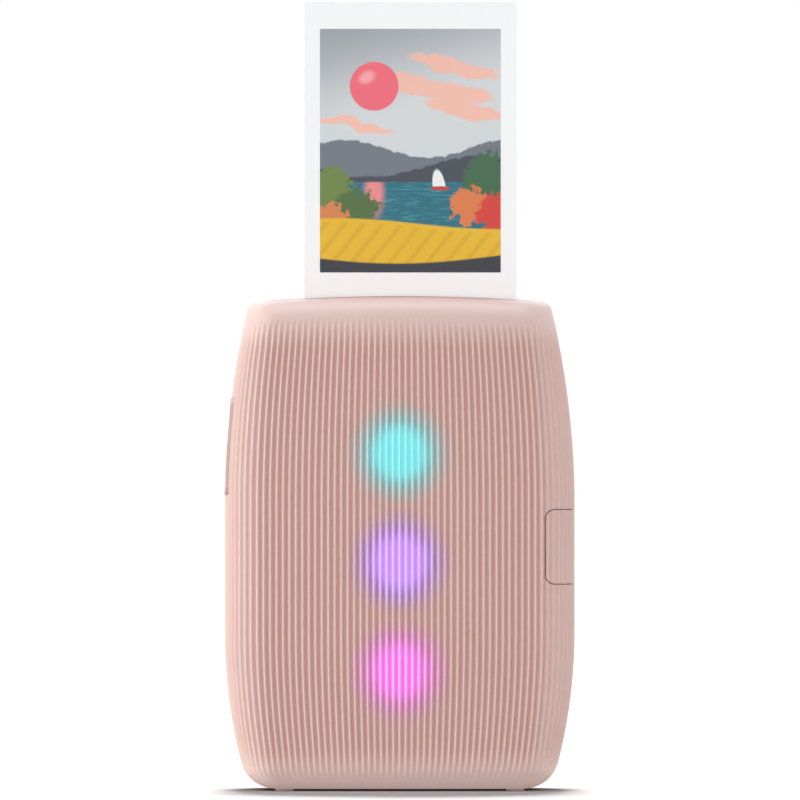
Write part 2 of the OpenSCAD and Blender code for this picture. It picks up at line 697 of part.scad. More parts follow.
module film_door() color([0.88, 0.72, 0.69]) difference() {
    union() {
        difference() {
            intersection() {
                rear_outer();
                rounded_plate(door_x0, door_x1, door_z0, door_z1, door_y0, face_rear + past, door_corner_r);
            }
            rod_z(door_z0 - past, door_z1 + past, hinge_x, hinge_y, door_swing_r);
        }
        for (z = knuckle_zs) {
            rod_z(z, z + knuckle_l, hinge_x, hinge_y, knuckle_r);
            box([hinge_x, door_y0, z], [door_x0 + past, hinge_y + knuckle_r - 0.3, z + knuckle_l]);
        }
        for (side = [-1, 1]) latch_rail(side);
    }
    for (z = knuckle_zs) rod_z(z - past, z + knuckle_l + past, hinge_x, hinge_y, hinge_pin_d / 2 + running);
    box([thumb_x1 - thumb_w - latch_travel - seam, door_y0 - past, latch_z - thumb_h / 2 - seam],
        [thumb_x1 + seam, face_rear + past, latch_z + thumb_h / 2 + seam]);
    box([window_x, door_y0 - past, window_z], [window_x + window_w, face_rear + past, window_z + window_h]);
    box([window_x - window_lip, door_y0 - past, window_z - window_lip],
        [window_x + window_w + window_lip, door_y0 + window_lip_t, window_z + window_h + window_lip]);
}
// Rails that hold the latch plate against the door's inside
module latch_rail(side) {
    inner_z = latch_z + side * (latch_w / 2 + running);
    outer_z = inner_z + side * rail_t;
    lip_z = inner_z - side * rail_lip;
    y0 = latch_y1 - latch_t - running;
    x0 = latch_x1 - latch_l;
    x1 = latch_x1 - tongue_l;
    box([x0, y0, min(inner_z, outer_z)], [x1, door_y0 + 0.1, max(inner_z, outer_z)]);
    box([x0, y0 - 0.5, min(lip_z, outer_z)], [x1, y0, max(lip_z, outer_z)]);
}
module door_latch() color([0.8, 0.64, 0.61]) {
    box([latch_x1 - latch_l, latch_y1 - latch_t, latch_z - latch_w / 2],
        [latch_x1 - tongue_l, latch_y1, latch_z + latch_w / 2]);
    box([latch_x1 - tongue_l - 0.1, latch_y1 - latch_t, latch_z - tongue_w / 2], [latch_x1, latch_y1, latch_z + tongue_w / 2]);
    difference() {
        box([thumb_x1 - thumb_w, latch_y1 - latch_t, latch_z - thumb_h / 2],
            [thumb_x1, face_rear - 0.3, latch_z + thumb_h / 2]);
        for (k = [-1 : 1])
            rod_z(latch_z - thumb_h / 2 - past, latch_z + thumb_h / 2 + past,
                thumb_x1 - thumb_w / 2 + k * grip_pitch, face_rear - 0.1, grip_r);
    }
}
module door_window() color([0.3, 0.3, 0.32]) {
    box([window_x + running, door_y0, window_z + running],
        [window_x + window_w - running, face_rear - 0.3, window_z + window_h - running]);
    box([window_x - window_lip + running, door_y0, window_z - window_lip + running],
        [window_x + window_w + window_lip - running, door_y0 + window_lip_t - running,
         window_z + window_h + window_lip - running]);
}
module pressure_springs() color([0.75, 0.75, 0.77])
    for (side = [-1, 1])
        across_x(leaf(), film_x + side * spring_x - spring_w / 2, film_x + side * spring_x + spring_w / 2);
// A bowed leaf spring, from the door's inside to the back of the film stack
function leaf() =
    let (a = spring_l / 2, b = spring_flat / 2, foot = 2)
    [[door_y0, spring_z - a - foot], [door_y0, spring_z - a], [spring_tip_y + spring_t, spring_z - b],
     [spring_tip_y + spring_t, spring_z + b], [door_y0, spring_z + a], [door_y0, spring_z + a + foot],
     [door_y0 - spring_t, spring_z + a + foot], [door_y0 - spring_t, spring_z + a],
     [spring_tip_y, spring_z + b], [spring_tip_y, spring_z - b],
     [door_y0 - spring_t, spring_z - a], [door_y0 - spring_t, spring_z - a - foot]];

module chassis() color([0.16, 0.16, 0.17]) difference() {
    union() {
        box([chassis_x0, chassis_y0, chassis_floor - chassis_side], [chassis_x1, chassis_y1, side_top]);
        box([bracket_left_x1, chassis_y0, side_top - past], [bracket_right_x0, chassis_y1, plate_top]);
        for (x = [chassis_x0, chassis_x1 - chassis_side])
            box([x, chassis_y0, chassis_floor - chassis_side], [x + chassis_side, chassis_back, side_top]);
        box([chassis_x0, chassis_y0, chassis_floor - chassis_side], [chassis_x1, chassis_back, chassis_floor]);
        for (k = [-1 : 1])
            box([k * seat_pitch, chassis_y0, floor_z + touch], [k * seat_pitch + seat_w, bracket_back - 2, chassis_floor]);
        for (p = post_xz) {
            rod_y(board_y1, chassis_y0 + 0.1, p[0], p[1], shoulder_d / 2);
            rod_y(post_y0, board_y1, p[0], p[1], post_d / 2);
        }
    }
    for (p = post_xz) {
        rod_y(chassis_y1 - screw_head_t, chassis_y1 + past, p[0], p[1], screw_head_d / 2);
        rod_y(chassis_y1 - screw_l, chassis_y1, p[0], p[1], screw_d / 2);
    }
    // Channel of the claw in the left wall
    box([claw_x0 - claw_gap, claw_y0 - claw_gap, claw_z0 - past],
        [pack_x0, claw_y0 + claw_w + claw_gap, claw_z0 + claw_l + claw_travel + past]);
}
module chassis_screws() color([0.6, 0.6, 0.62])
    for (p = post_xz) {
        rod_y(chassis_y1 - screw_head_t, chassis_y1, p[0], p[1], screw_head_d / 2);
        rod_y(chassis_y1 - screw_l, chassis_y1 - screw_head_t, p[0], p[1], screw_d / 2);
    }

module film_pack() color([0.1, 0.1, 0.11]) difference() {
    box([pack_x0, pack_y, pack_z], [pack_x1, pack_y + pack_d, pack_top]);
    box([sheet_x0 - loose, pack_y + pack_wall, sheet_store_z],
        [sheet_x1 + loose, pack_y + pack_d - pack_wall, pack_top - 2]);
    box([sheet_x0 - loose, film_y - sheet_t / 2 - loose, pack_top - 3],
        [sheet_x1 + loose, film_y + sheet_t / 2 + 0.2, pack_top + past]);
    for (side = [-1, 1])
        box([film_x + side * spring_x - spring_w / 2 - hole_margin, pack_y + pack_d - pack_wall - past,
             spring_z - spring_l / 2], [film_x + side * spring_x + spring_w / 2 + hole_margin,
             pack_y + pack_d + past, spring_z + spring_l / 2]);
    // Notch for the ejection claw
    box([pack_x0 - past, pack_y - past, pack_z - past], [sheet_x0 + 2.5, film_y + sheet_t / 2 + 0.2, pack_z + notch_h]);
}
module film_stack() color([0.95, 0.95, 0.94])
    box([sheet_x0, stack_y0, sheet_store_z], [sheet_x1, stack_y1, sheet_store_z + sheet_h]);
module film_print() color([0.96, 0.96, 0.95])
    box([sheet_x0, film_y - sheet_t / 2, print_z], [sheet_x1, film_y + sheet_t / 2, print_z + sheet_h]);
module ejection_claw() color([0.7, 0.7, 0.72]) {
    box([claw_x0, claw_y0, claw_z0], [claw_x1, claw_y0 + claw_w, claw_z0 + claw_l]);
    box([claw_x0, film_y - sheet_t / 2 - 0.15, claw_z0], [claw_x1 + claw_hook, film_y + sheet_t / 2, claw_z0 + claw_hook_t]);
}

module exposure_head() color([0.13, 0.13, 0.14])
    box([bracket_left_x1, head_y0, head_z0], [bracket_right_x0, head_y1, head_z1]);
module head_lens() color([0.5, 0.55, 0.6])
    box([sheet_x0, lens_y0, head_z0 + lens_in], [sheet_x1, head_y0, head_z1 - lens_in]);

module bearing_holes(x0, x1) {
    for (y = [drive_y, pinch_y]) rod_x(x0 - past, x1 + past, y, roller_z, shaft_d / 2 + running);
}
module bracket_left() color([0.65, 0.65, 0.67]) difference() {
    across_x([[chassis_y0, bracket_low], [bracket_front, bracket_low], [bracket_front, pinion_z + motor_r],
        [drive_y - bracket_lead, bracket_top], [bracket_back, bracket_top], [bracket_back, side_top],
        [chassis_y0, side_top]],
        bracket_left_x0, bracket_left_x1);
    bearing_holes(bracket_left_x0, bracket_left_x1);
    rod_x(bracket_left_x0 - past, bracket_left_x1 + past, pinion_y, pinion_z, motor_shaft_d / 2 + 0.2);
    rod_x(bracket_left_x0 - past, bracket_left_x1 + past, idler_y, idler_z, stud_d / 2);
}
module bracket_right() color([0.65, 0.65, 0.67]) difference() {
    box([bracket_right_x0, drive_y - bracket_lead, side_top], [bracket_right_x1, bracket_back, bracket_top]);
    bearing_holes(bracket_right_x0, bracket_right_x1);
}
module idler_stud() color([0.75, 0.75, 0.77])
    rod_x(gear_x0 - stud_head, bracket_left_x1, idler_y, idler_z, stud_d / 2);
module motor() color([0.6, 0.6, 0.63]) difference() {
    intersection() {
        rod_x(bracket_left_x1, bracket_left_x1 + motor_l, pinion_y, pinion_z, motor_r);
        box([bracket_left_x1, pinion_y - motor_w / 2, pinion_z - motor_r],
            [bracket_left_x1 + motor_l, pinion_y + motor_w / 2, pinion_z + motor_r]);
    }
    rod_x(bracket_left_x1 - past, bracket_left_x1 + motor_shaft_in + past, pinion_y, pinion_z,
        motor_shaft_d / 2 + running);
}

// Outline of a gear in Y and Z, one tooth centred on angle phase
function gear_outline(teeth, m, phase) =
    let (r = teeth * m / 2, step = 360 / teeth)
    let (tooth = [[r - 1.15 * m, -0.27], [r, -0.2], [r + 0.8 * m, -0.09], [r + 0.8 * m, 0.09], [r, 0.2],
        [r - 1.15 * m, 0.27]])
    [for (k = [0 : teeth - 1]) for (p = tooth)
        let (a = phase + (k + p[1]) * step) [p[0] * cos(a), p[0] * sin(a)]];
// Phase of a gear that meshes with another, along the line from that one to this
function meshed(phase, teeth, mates, line) =
    line + 180 + (180 - (phase - line) * teeth) / mates;
module gear(teeth, m, phase, y, z, bore) {
    translate([gear_x0, y, z]) rotate([90, 0, 90]) linear_extrude(gear_t) difference() {
        polygon(gear_outline(teeth, m, phase));
        circle(d = bore, $fn = round_fn);
    }
}
drive_phase = 0;
idler_phase = meshed(drive_phase, roller_teeth, idler_teeth, 270 - idler_lean);
pinion_phase = meshed(idler_phase, idler_teeth, pinion_teeth, 270 - pinion_lean);
module roller(y, r) {
    rod_x(sheet_x0 - roller_over, sheet_x1 + roller_over, y, roller_z, r);
    rod_x(gear_x0, bracket_right_x1, y, roller_z, shaft_d / 2);
}
module drive_roller() color([0.72, 0.72, 0.74]) roller(drive_y, roller_r);
module pinch_roller() color([0.72, 0.72, 0.74]) roller(pinch_y, roller_r);
module drive_gear() color([0.92, 0.92, 0.88]) gear(roller_teeth, roller_m, drive_phase, drive_y, roller_z, shaft_d);
module pinch_gear() color([0.92, 0.92, 0.88])
    gear(roller_teeth, roller_m, meshed(drive_phase, roller_teeth, roller_teeth, 0), pinch_y, roller_z, shaft_d);
module idler_gear() color([0.92, 0.92, 0.88])
    gear(idler_teeth, gear_m, idler_phase, idler_y, idler_z, stud_d + 2 * running);
module motor_pinion() color([0.8, 0.7, 0.4]) {
    gear(pinion_teeth, gear_m, pinion_phase, pinion_y, pinion_z, motor_shaft_d / 2);
    rod_x(gear_x0, bracket_left_x1 + motor_shaft_in, pinion_y, pinion_z, motor_shaft_d / 2);
}

module main_board() color([0.1, 0.35, 0.2]) difference() {
    box([board_x0, board_y0, board_z0], [board_x1, board_y1, board_z1]);
    for (p = post_xz) rod_y(board_y0 - past, board_y1 + past, p[0], p[1], post_d / 2 + 0.1);
}
module shield_can() color([0.7, 0.7, 0.72])
    box([shield_x0, board_y0 - shield_t, shield_z0], [shield_x0 + shield_w, board_y0, shield_z0 + shield_h]);
module board_chips() color([0.12, 0.12, 0.13])
    for (c = chips)
        translate([board_x0 + c[0], board_y0 - c[4], board_z0 + c[1]]) cube([c[2], c[4], c[3]]);
module battery() color([0.75, 0.75, 0.78])
    rounded_plate(battery_x0, battery_x1, battery_z0, battery_z1, board_y0 - battery_t, board_y0, battery_r);
module light_board() color([0.95, 0.95, 0.95])
    box([-strip_w / 2, strip_board_y0, strip_z0], [strip_w / 2, strip_board_y1, strip_z1]);
module light(z) {
    box([-light_w / 2, guide_y1, z - light_h / 2], [light_w / 2, strip_board_y0, z + light_h / 2]);
}
module light_magenta() color([0.95, 0.3, 0.9]) light(light_zs[0]);
module light_violet() color([0.7, 0.4, 1]) light(light_zs[1]);
module light_teal() color([0.2, 0.85, 0.85]) light(light_zs[2]);
module light_guide() color([0.95, 0.93, 0.95])
    box([-strip_w / 2, guide_y0, strip_z0], [strip_w / 2, guide_y1, strip_z1]);
module board_spacers() color([0.85, 0.75, 0.45])
    for (z = spacer_zs) rod_y(strip_board_y1, board_y0, 0, z, spacer_d / 2);
module usb_socket() color([0.75, 0.75, 0.77]) difference() {
    usb_shell(usb_w, usb_t, usb_x0, usb_x1);
    usb_shell(usb_w - 2 * usb_wall, usb_t - 2 * usb_wall, usb_x0 + usb_wall, usb_x1 + past);
}
module usb_shell(w, t, x0, x1) {
    box([x0, usb_y - t / 2, usb_z - w / 2 + t / 2], [x1, usb_y + t / 2, usb_z + w / 2 - t / 2]);
    for (side = [-1, 1]) rod_x(x0, x1, usb_y, usb_z + side * (w / 2 - t / 2), t / 2);
}
module reset_button() color([0.2, 0.2, 0.21]) {
    rod_x(reset_flange_x - reset_flange_t, reset_x1, reset_y, reset_z, reset_d / 2);
    rod_x(reset_flange_x - reset_flange_t, reset_flange_x, reset_y, reset_z, reset_flange_d / 2);
}
module reset_switch() color([0.15, 0.15, 0.16]) {
    tip = reset_flange_x - reset_flange_t - button_travel - 0.1;
    rod_x(tip - plunger_l, tip, reset_y, reset_z, plunger_d / 2);
    box([tip - plunger_l - tact[0], board_y0 - tact[1], reset_z - tact[2] / 2],
        [tip - plunger_l, board_y0, reset_z + tact[2] / 2]);
}
module power_switch() color([0.15, 0.15, 0.16]) {
    rod_x(power_switch_x0 - plunger_l, power_switch_x0, power_y, power_stem_z, plunger_d / 2);
    box([power_switch_x0, board_y0 - tact[1], power_stem_z - tact[2] / 2],
        [power_switch_x0 + tact[0], board_y0, power_stem_z + tact[2] / 2]);
}
module slot_seal() color([0.1, 0.1, 0.1])
    box([sheet_x0, film_y + sheet_t / 2 + 0.1, crown_z - 3], [sheet_x1, slot_y1, crown_z - 1.4]);

front_case();
rear_case();
chassis();
film_pack();
film_stack();
exposure_head();
head_lens();
bracket_left();
bracket_right();
motor();
main_board();
shield_can();
board_chips();
battery();
light_board();
light_teal();
light_violet();
light_magenta();
light_guide();
board_spacers();
usb_socket();
reset_switch();
power_switch();
slot_seal();
feet();
chassis_screws();
hinge_pins();
idler_stud();
film_door();
door_window();
pressure_springs();
door_latch();
port_cover();
reset_button();
power_button();
film_print();
drive_roller();
drive_gear();
pinch_roller();
pinch_gear();
idler_gear();
motor_pinion();
ejection_claw();
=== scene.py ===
"""Compact photo printer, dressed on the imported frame. Sizes are in metres, in the frame's axes."""
import json
import math

import bmesh
import bpy
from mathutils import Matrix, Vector

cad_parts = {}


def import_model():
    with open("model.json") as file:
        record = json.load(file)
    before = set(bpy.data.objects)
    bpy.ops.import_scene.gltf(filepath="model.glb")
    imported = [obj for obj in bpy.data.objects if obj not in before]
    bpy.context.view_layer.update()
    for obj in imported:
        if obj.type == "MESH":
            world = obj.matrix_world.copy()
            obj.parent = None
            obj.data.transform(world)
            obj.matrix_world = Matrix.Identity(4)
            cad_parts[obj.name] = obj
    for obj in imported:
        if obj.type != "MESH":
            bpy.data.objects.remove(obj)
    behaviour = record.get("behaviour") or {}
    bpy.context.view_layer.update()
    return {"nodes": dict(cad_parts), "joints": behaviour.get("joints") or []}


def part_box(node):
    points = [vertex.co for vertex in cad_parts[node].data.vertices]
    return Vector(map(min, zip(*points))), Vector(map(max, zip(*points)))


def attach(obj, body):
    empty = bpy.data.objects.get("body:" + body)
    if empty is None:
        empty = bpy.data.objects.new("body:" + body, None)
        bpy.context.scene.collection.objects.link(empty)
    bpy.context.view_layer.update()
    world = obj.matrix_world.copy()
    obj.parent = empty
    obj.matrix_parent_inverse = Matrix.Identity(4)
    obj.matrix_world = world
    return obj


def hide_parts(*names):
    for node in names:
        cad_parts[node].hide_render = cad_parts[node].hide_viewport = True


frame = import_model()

MM = 0.001

# ---------------------------------------------------------------- camera

PHOTO_PX = 800
PX_PER_MM = 3.93
BASE_PX = 789.3
CENTRE_PX = 399.7
CAMERA_DISTANCE = 4.0
CAMERA_NEAR = 0.05
CAMERA_FAR = 20.0
SENSOR_MM = 36.0


def midpoint(low, high):
    return (low + high) / 2


print_lo, print_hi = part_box("film_print")
print_y = midpoint(print_lo.y, print_hi.y)


def make_camera():
    """Level view from straight ahead, through a long lens."""
    data = bpy.data.cameras.new("view_camera")
    data.sensor_width = SENSOR_MM
    field = PHOTO_PX / PX_PER_MM * MM
    data.lens = SENSOR_MM * CAMERA_DISTANCE / field
    data.clip_start = CAMERA_NEAR
    data.clip_end = CAMERA_FAR
    camera = bpy.data.objects.new("view_camera", data)
    bpy.context.scene.collection.objects.link(camera)
    half_px = PHOTO_PX / 2
    x = (half_px - CENTRE_PX) / PX_PER_MM * MM
    z = (BASE_PX - half_px) / PX_PER_MM * MM
    camera.location = (x, print_y - CAMERA_DISTANCE, z)
    camera.rotation_euler = (math.pi / 2, 0, 0)
    bpy.context.scene.camera = camera


make_camera()

# ---------------------------------------------------------------- materials


def srgb(r, g, b):
    """Linear colour from 0-255 sRGB values."""

    def linear(c):
        c /= 255
        return c / 12.92 if c <= 0.04045 else ((c + 0.055) / 1.055) ** 2.4

    return (linear(r), linear(g), linear(b), 1.0)


def shade(color, gain, lift=0.0):
    """A darker or paler tone of a linear colour."""
    return tuple(min(1.0, c * gain + lift) for c in color[:3]) + (1.0,)


class Graph:
    """A material's node tree, with short calls for the nodes used here."""

    def __init__(self, name, color, roughness=0.5, metallic=0.0):
        self.material = bpy.data.materials.new(name)
        self.material.use_nodes = True
        self.material.diffuse_color = color
        self.tree = self.material.node_tree
        self.shader = self.tree.nodes["Principled BSDF"]
        self.set("Base Color", color)
        self.set("Roughness", roughness)
        self.set("Metallic", metallic)

    def set(self, socket, value):
        self.put(self.shader.inputs[socket], value)

    def node(self, kind, **inputs):
        n = self.tree.nodes.new(kind)
        for key, value in inputs.items():
            self.put(n.inputs[key], value)
        return n

    def put(self, socket, value):
        if isinstance(value, bpy.types.NodeSocket):
            self.tree.links.new(value, socket)
        else:
            socket.default_value = value

    def math(self, operation, *values):
        n = self.tree.nodes.new("ShaderNodeMath")
        n.operation = operation
        for socket, value in zip(n.inputs, values):
            self.put(socket, value)
        return n.outputs[0]

    def inverse(self, value):
        return self.math("SUBTRACT", 1.0, value)

    def spread(self, value, width, middle=0.0):
        """A noise of 0 to 1, brought to a width about a middle."""
        return self.math("ADD", self.math("MULTIPLY", self.math("SUBTRACT", value, 0.5), width), middle)

    def mix(self, factor, a, b):
        n = self.tree.nodes.new("ShaderNodeMix")
        n.data_type = "RGBA"
        self.put(n.inputs["Factor"], factor)
        self.put(n.inputs[6], a)
        self.put(n.inputs[7], b)
        return n.outputs[2]

    def step(self, value, low, high):
        """Smooth rise from 0 to 1 as value goes from low to high."""
        n = self.tree.nodes.new("ShaderNodeMapRange")
        n.interpolation_type = "SMOOTHSTEP"
        for key, v in (("Value", value), ("From Min", low), ("From Max", high)):
            self.put(n.inputs[key], v)
        return n.outputs[0]

    def place(self):
        """Object coordinates: the vector, then its X, Y and Z."""
        c = self.tree.nodes.new("ShaderNodeTexCoord").outputs["Object"]
        n = self.node("ShaderNodeSeparateXYZ", Vector=c)
        return c, n.outputs[0], n.outputs[1], n.outputs[2]

    def noise(self, scale, detail=4.0, vector=None, roughness=0.55):
        n = self.node("ShaderNodeTexNoise", Scale=scale, Detail=detail, Roughness=roughness)
        self.put(n.inputs["Vector"], vector if vector else self.place()[0])
        return n.outputs["Fac"]

    def bump(self, height, distance, strength=1.0):
        n = self.node("ShaderNodeBump", Height=height, Strength=strength, Distance=distance)
        self.set("Normal", n.outputs[0])


GRAIN = 0.02 * MM
GRAIN_SCALE = 9000.0
MOTTLE = 0.05


def moulded(name, color, roughness):
    """Moulded plastic: fine spark grain and faint mottling."""
    g = Graph(name, color, roughness)
    cloud = g.noise(scale=60.0, detail=3.0)
    g.set("Base Color", g.mix(cloud, shade(color, 1 - MOTTLE), shade(color, 1 + MOTTLE, lift=0.01)))
    fine = g.noise(GRAIN_SCALE, detail=2.0)
    g.set("Roughness", g.spread(fine, width=0.12, middle=roughness))
    g.bump(fine, GRAIN, strength=0.5)
    return g.material


def brushed(name, color, roughness, along=(1.0, 40.0, 40.0)):
    """Metal with fine brush lines that run along one axis."""
    g = Graph(name, color, roughness, metallic=1.0)
    stretched = g.node("ShaderNodeVectorMath", Vector=g.place()[0])
    stretched.operation = "MULTIPLY"
    stretched.inputs[1].default_value = along
    lines = g.noise(scale=900.0, detail=3.0, vector=stretched.outputs[0])
    worn = g.noise(scale=120.0, detail=2.0)
    g.set("Base Color", g.mix(worn, shade(color, 0.85), color))
    g.set("Roughness", g.spread(lines, width=0.2, middle=roughness))
    g.bump(lines, 0.01 * MM, strength=0.4)
    return g.material


def painted_board(name, color, mask):
    """Circuit board: solder mask over faint copper tracks."""
    g = Graph(name, color, roughness=0.35)
    tracks = g.node("ShaderNodeTexBrick", Vector=g.place()[0], Scale=900.0)
    g.put(tracks.inputs["Mortar Size"], 0.12)
    line = g.math("MULTIPLY", tracks.outputs["Fac"], g.step(g.noise(scale=140.0), 0.45, 0.6))
    g.set("Base Color", g.mix(line, color, mask))
    g.bump(line, 0.03 * MM, strength=0.5)
    return g.material


def paper(name, color):
    """Coated card with faint fibres."""
    g = Graph(name, color)
    fibre = g.noise(scale=2500.0, detail=5.0)
    g.set("Base Color", g.mix(fibre, shade(color, 0.985), color))
    g.set("Roughness", g.spread(fibre, width=0.1, middle=0.29))
    g.bump(fibre, 0.008 * MM, strength=0.3)
    return g.material


def felt():
    """Rough black pile of the slot's seal."""
    g = Graph("black_felt", srgb(30, 30, 32), roughness=0.95)
    pile = g.noise(scale=6000.0, detail=6.0, roughness=0.8)
    g.set("Base Color", g.mix(pile, srgb(16, 16, 18), srgb(48, 48, 50)))
    g.set("Sheen Weight", 0.4)
    g.bump(pile, 0.2 * MM, strength=0.8)
    return g.material


def rubber():
    """Matt rubber of the feet, a little darker than the body."""
    g = Graph("soft_rubber", srgb(186, 150, 143), roughness=0.75)
    grain = g.noise(scale=1400.0, detail=5.0)
    g.set("Base Color", g.mix(grain, srgb(176, 140, 133), srgb(192, 157, 150)))
    g.bump(grain, 0.04 * MM, strength=0.6)
    return g.material


def lamp_plastic(name, color):
    """Small lit lens with an uneven glow."""
    g = Graph(name, color, roughness=0.2)
    tone = g.mix(g.noise(scale=800.0), color, shade(color, 1.0, lift=0.15))
    g.set("Base Color", tone)
    g.set("Emission Color", tone)
    g.set("Emission Strength", 0.8)
    return g.material


def smoked():
    """Dark, hazy plastic of the film door's window."""
    g = Graph("smoked_window", srgb(58, 56, 58))
    haze = g.noise(scale=300.0)
    g.set("Roughness", g.spread(haze, width=0.08, middle=0.1))
    g.set("Base Color", g.mix(haze, srgb(46, 44, 46), srgb(64, 62, 64)))
    g.set("Coat Weight", 0.6)
    return g.material


# ---------------------------------------------------------------- body form
# The same curves as the part's source: a barrel with flank arcs, an arched top and
# rounded plan corners. The driving sizes that the frame shows are taken from it.

case_lo, case_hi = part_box("front_case")
rear_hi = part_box("rear_case")[1]
HALF_W = (case_hi.x - case_lo.x) / 2
BASE_Z = case_lo.z
CROWN_Z = case_hi.z
PART_Y = case_hi.y
FACE_FRONT = case_lo.y
FACE_REAR = rear_hi.y
WALL = 2.2 * MM

FLANK_LOW_Z = 40 * MM
FLANK_HIGH_Z = 72 * MM
FLANK_LOW_R = 133 * MM
FLANK_HIGH_R = 217 * MM
BASE_CORNER_R = 9 * MM
TOP_CORNER_R = 3 * MM
TOP_ARCH_R = 500 * MM
SIDE_DRAFT = math.radians(1.2)
FLUTE_PITCH = 1.63 * MM
FLUTE_DEPTH = 0.5 * MM
FLUTE_FADE = 9 * MM
FLUTE_START = 1.5 * MM
FLUTE_END = 5 * MM
MIDDLE_HOLD = 0.67
HOLD_POWER = 8

LOW_C = (HALF_W - FLANK_LOW_R, FLANK_LOW_Z)
HIGH_C = (HALF_W - FLANK_HIGH_R, FLANK_HIGH_Z)
ARCH_C = (0.0, CROWN_Z - TOP_ARCH_R)
BASE_C_Z = BASE_Z + BASE_CORNER_R
BASE_ARM = FLANK_LOW_R - BASE_CORNER_R
BASE_C = (LOW_C[0] + math.sqrt(BASE_ARM ** 2 - (FLANK_LOW_Z - BASE_C_Z) ** 2), BASE_C_Z)
BASE_JOIN_Z = FLANK_LOW_Z - FLANK_LOW_R * (FLANK_LOW_Z - BASE_C_Z) / BASE_ARM


def crossing(c0, r0, c1, r1):
    """Where two circles cross, on the +X side."""
    dx, dz = c1[0] - c0[0], c1[1] - c0[1]
    d = math.hypot(dx, dz)
    a = (r0 * r0 - r1 * r1 + d * d) / (2 * d)
    h = math.sqrt(r0 * r0 - a * a)
    ux, uz = dx / d, dz / d
    return max((c0[0] + ux * a - s * uz * h, c0[1] + uz * a + s * ux * h) for s in (-1, 1))


TOP_C = crossing(HIGH_C, FLANK_HIGH_R - TOP_CORNER_R, ARCH_C, TOP_ARCH_R - TOP_CORNER_R)
TOP_START = math.atan2(TOP_C[1] - HIGH_C[1], TOP_C[0] - HIGH_C[0])
TOP_END = math.atan2(TOP_C[1] - ARCH_C[1], TOP_C[0] - ARCH_C[0])


def arch_z(x):
    """Height of the arched top."""
    return ARCH_C[1] + math.sqrt(TOP_ARCH_R ** 2 - x * x)


def flank_x(z):
    """Half width of the barrel at a height."""
    if z < BASE_JOIN_Z:
        return BASE_C[0] + math.sqrt(max(0.0, BASE_CORNER_R ** 2 - (BASE_C[1] - z) ** 2))
    if z < FLANK_LOW_Z:
        return LOW_C[0] + math.sqrt(FLANK_LOW_R ** 2 - (FLANK_LOW_Z - z) ** 2)
    if z < FLANK_HIGH_Z:
        return HALF_W
    return HIGH_C[0] + math.sqrt(FLANK_HIGH_R ** 2 - (z - FLANK_HIGH_Z) ** 2)


def smooth(t):
    """Soft rise from 0 to 1."""
    t = max(0.0, min(1.0, t))
    return t * t * (3 - 2 * t)


def fluted(z):
    """Share of the flutes' depth at a height: they run out softly at both ends."""
    low = smooth((z - BASE_Z - FLUTE_START) / FLUTE_FADE)
    return low * smooth((CROWN_Z - FLUTE_END - z) / FLUTE_FADE)


class Half:
    """One half of the housing: its plan curve and its edge roundings."""

    def __init__(self, side, face, corner_r, crown_r, top_r, base_r):
        self.side = side
        self.depth = abs(face - PART_Y)
        self.corner_r = corner_r
        self.crown_r = crown_r
        self.top_r = top_r
        self.base_r = base_r
        self.turn = math.asin((HALF_W - corner_r) / (crown_r - corner_r))
        self.crown_len = crown_r * self.turn
        self.corner_len = corner_r * (math.pi / 2 - SIDE_DRAFT - self.turn)
        corner_depth = self.depth - crown_r * (1 - math.cos(self.turn))
        corner_depth -= corner_r * (math.cos(self.turn) - math.sin(SIDE_DRAFT))
        self.length = self.crown_len + self.corner_len + corner_depth / math.cos(SIDE_DRAFT)
        self.end_x = self.plan(self.length)[0]

    def base_dent(self, z):
        """How far the face curves in at a height near the base."""
        up = z - BASE_Z
        if up >= self.base_r:
            return 0.0
        return self.base_r - math.sqrt(self.base_r ** 2 - (self.base_r - up) ** 2)

    def plan(self, s):
        """(x, depth from the parting, heading) at arc length s from the middle of the face."""
        if s < self.crown_len:
            f = s / self.crown_r
        else:
            f = min(math.pi / 2 - SIDE_DRAFT, self.turn + (s - self.crown_len) / self.corner_r)
        beyond = max(0.0, s - self.crown_len - self.corner_len)
        c = min(f, self.turn)
        x = self.crown_r * math.sin(c) + beyond * math.cos(f)
        x += self.corner_r * (math.sin(f) - math.sin(c))
        d = self.depth - self.crown_r * (1 - math.cos(c))
        d -= self.corner_r * (math.cos(c) - math.cos(f)) + beyond * math.sin(f)
        return x, d, f

    def sample(self, s, hollow=0.0, mark=0.0):
        """(share of the half width, depth, heading, hollow, texture mark) for s of either sign."""
        x, d, f = self.plan(abs(s))
        sign = 1 if s >= 0 else -1
        return sign * x / self.end_x, d, sign * f, hollow, mark

    def point(self, p, x, z, dent, inset):
        """A sample's place at x and z, with the face curved in by dent and its hollows by inset."""
        _, d, f, hollow, _ = p
        y = d * (self.depth - dent) / self.depth - inset * hollow * math.cos(f)
        return Vector((x - inset * hollow * math.sin(f), PART_Y + self.side * y, z))


FRONT = Half(side=-1, face=FACE_FRONT, corner_r=10.2 * MM, crown_r=480 * MM,
             top_r=5.4 * MM, base_r=6 * MM)
REAR = Half(side=1, face=FACE_REAR, corner_r=8 * MM, crown_r=2400 * MM,
            top_r=4 * MM, base_r=4 * MM)


def barrel_x(v, w):
    """Place across the barrel of share v where its half width is w: the ribs near the middle
    follow only part of the narrowing, and those at the flanks all of it."""
    hold = MIDDLE_HOLD + (1 - MIDDLE_HOLD) * abs(v) ** HOLD_POWER
    return v * HALF_W * (1 - (1 - w / HALF_W) * hold)


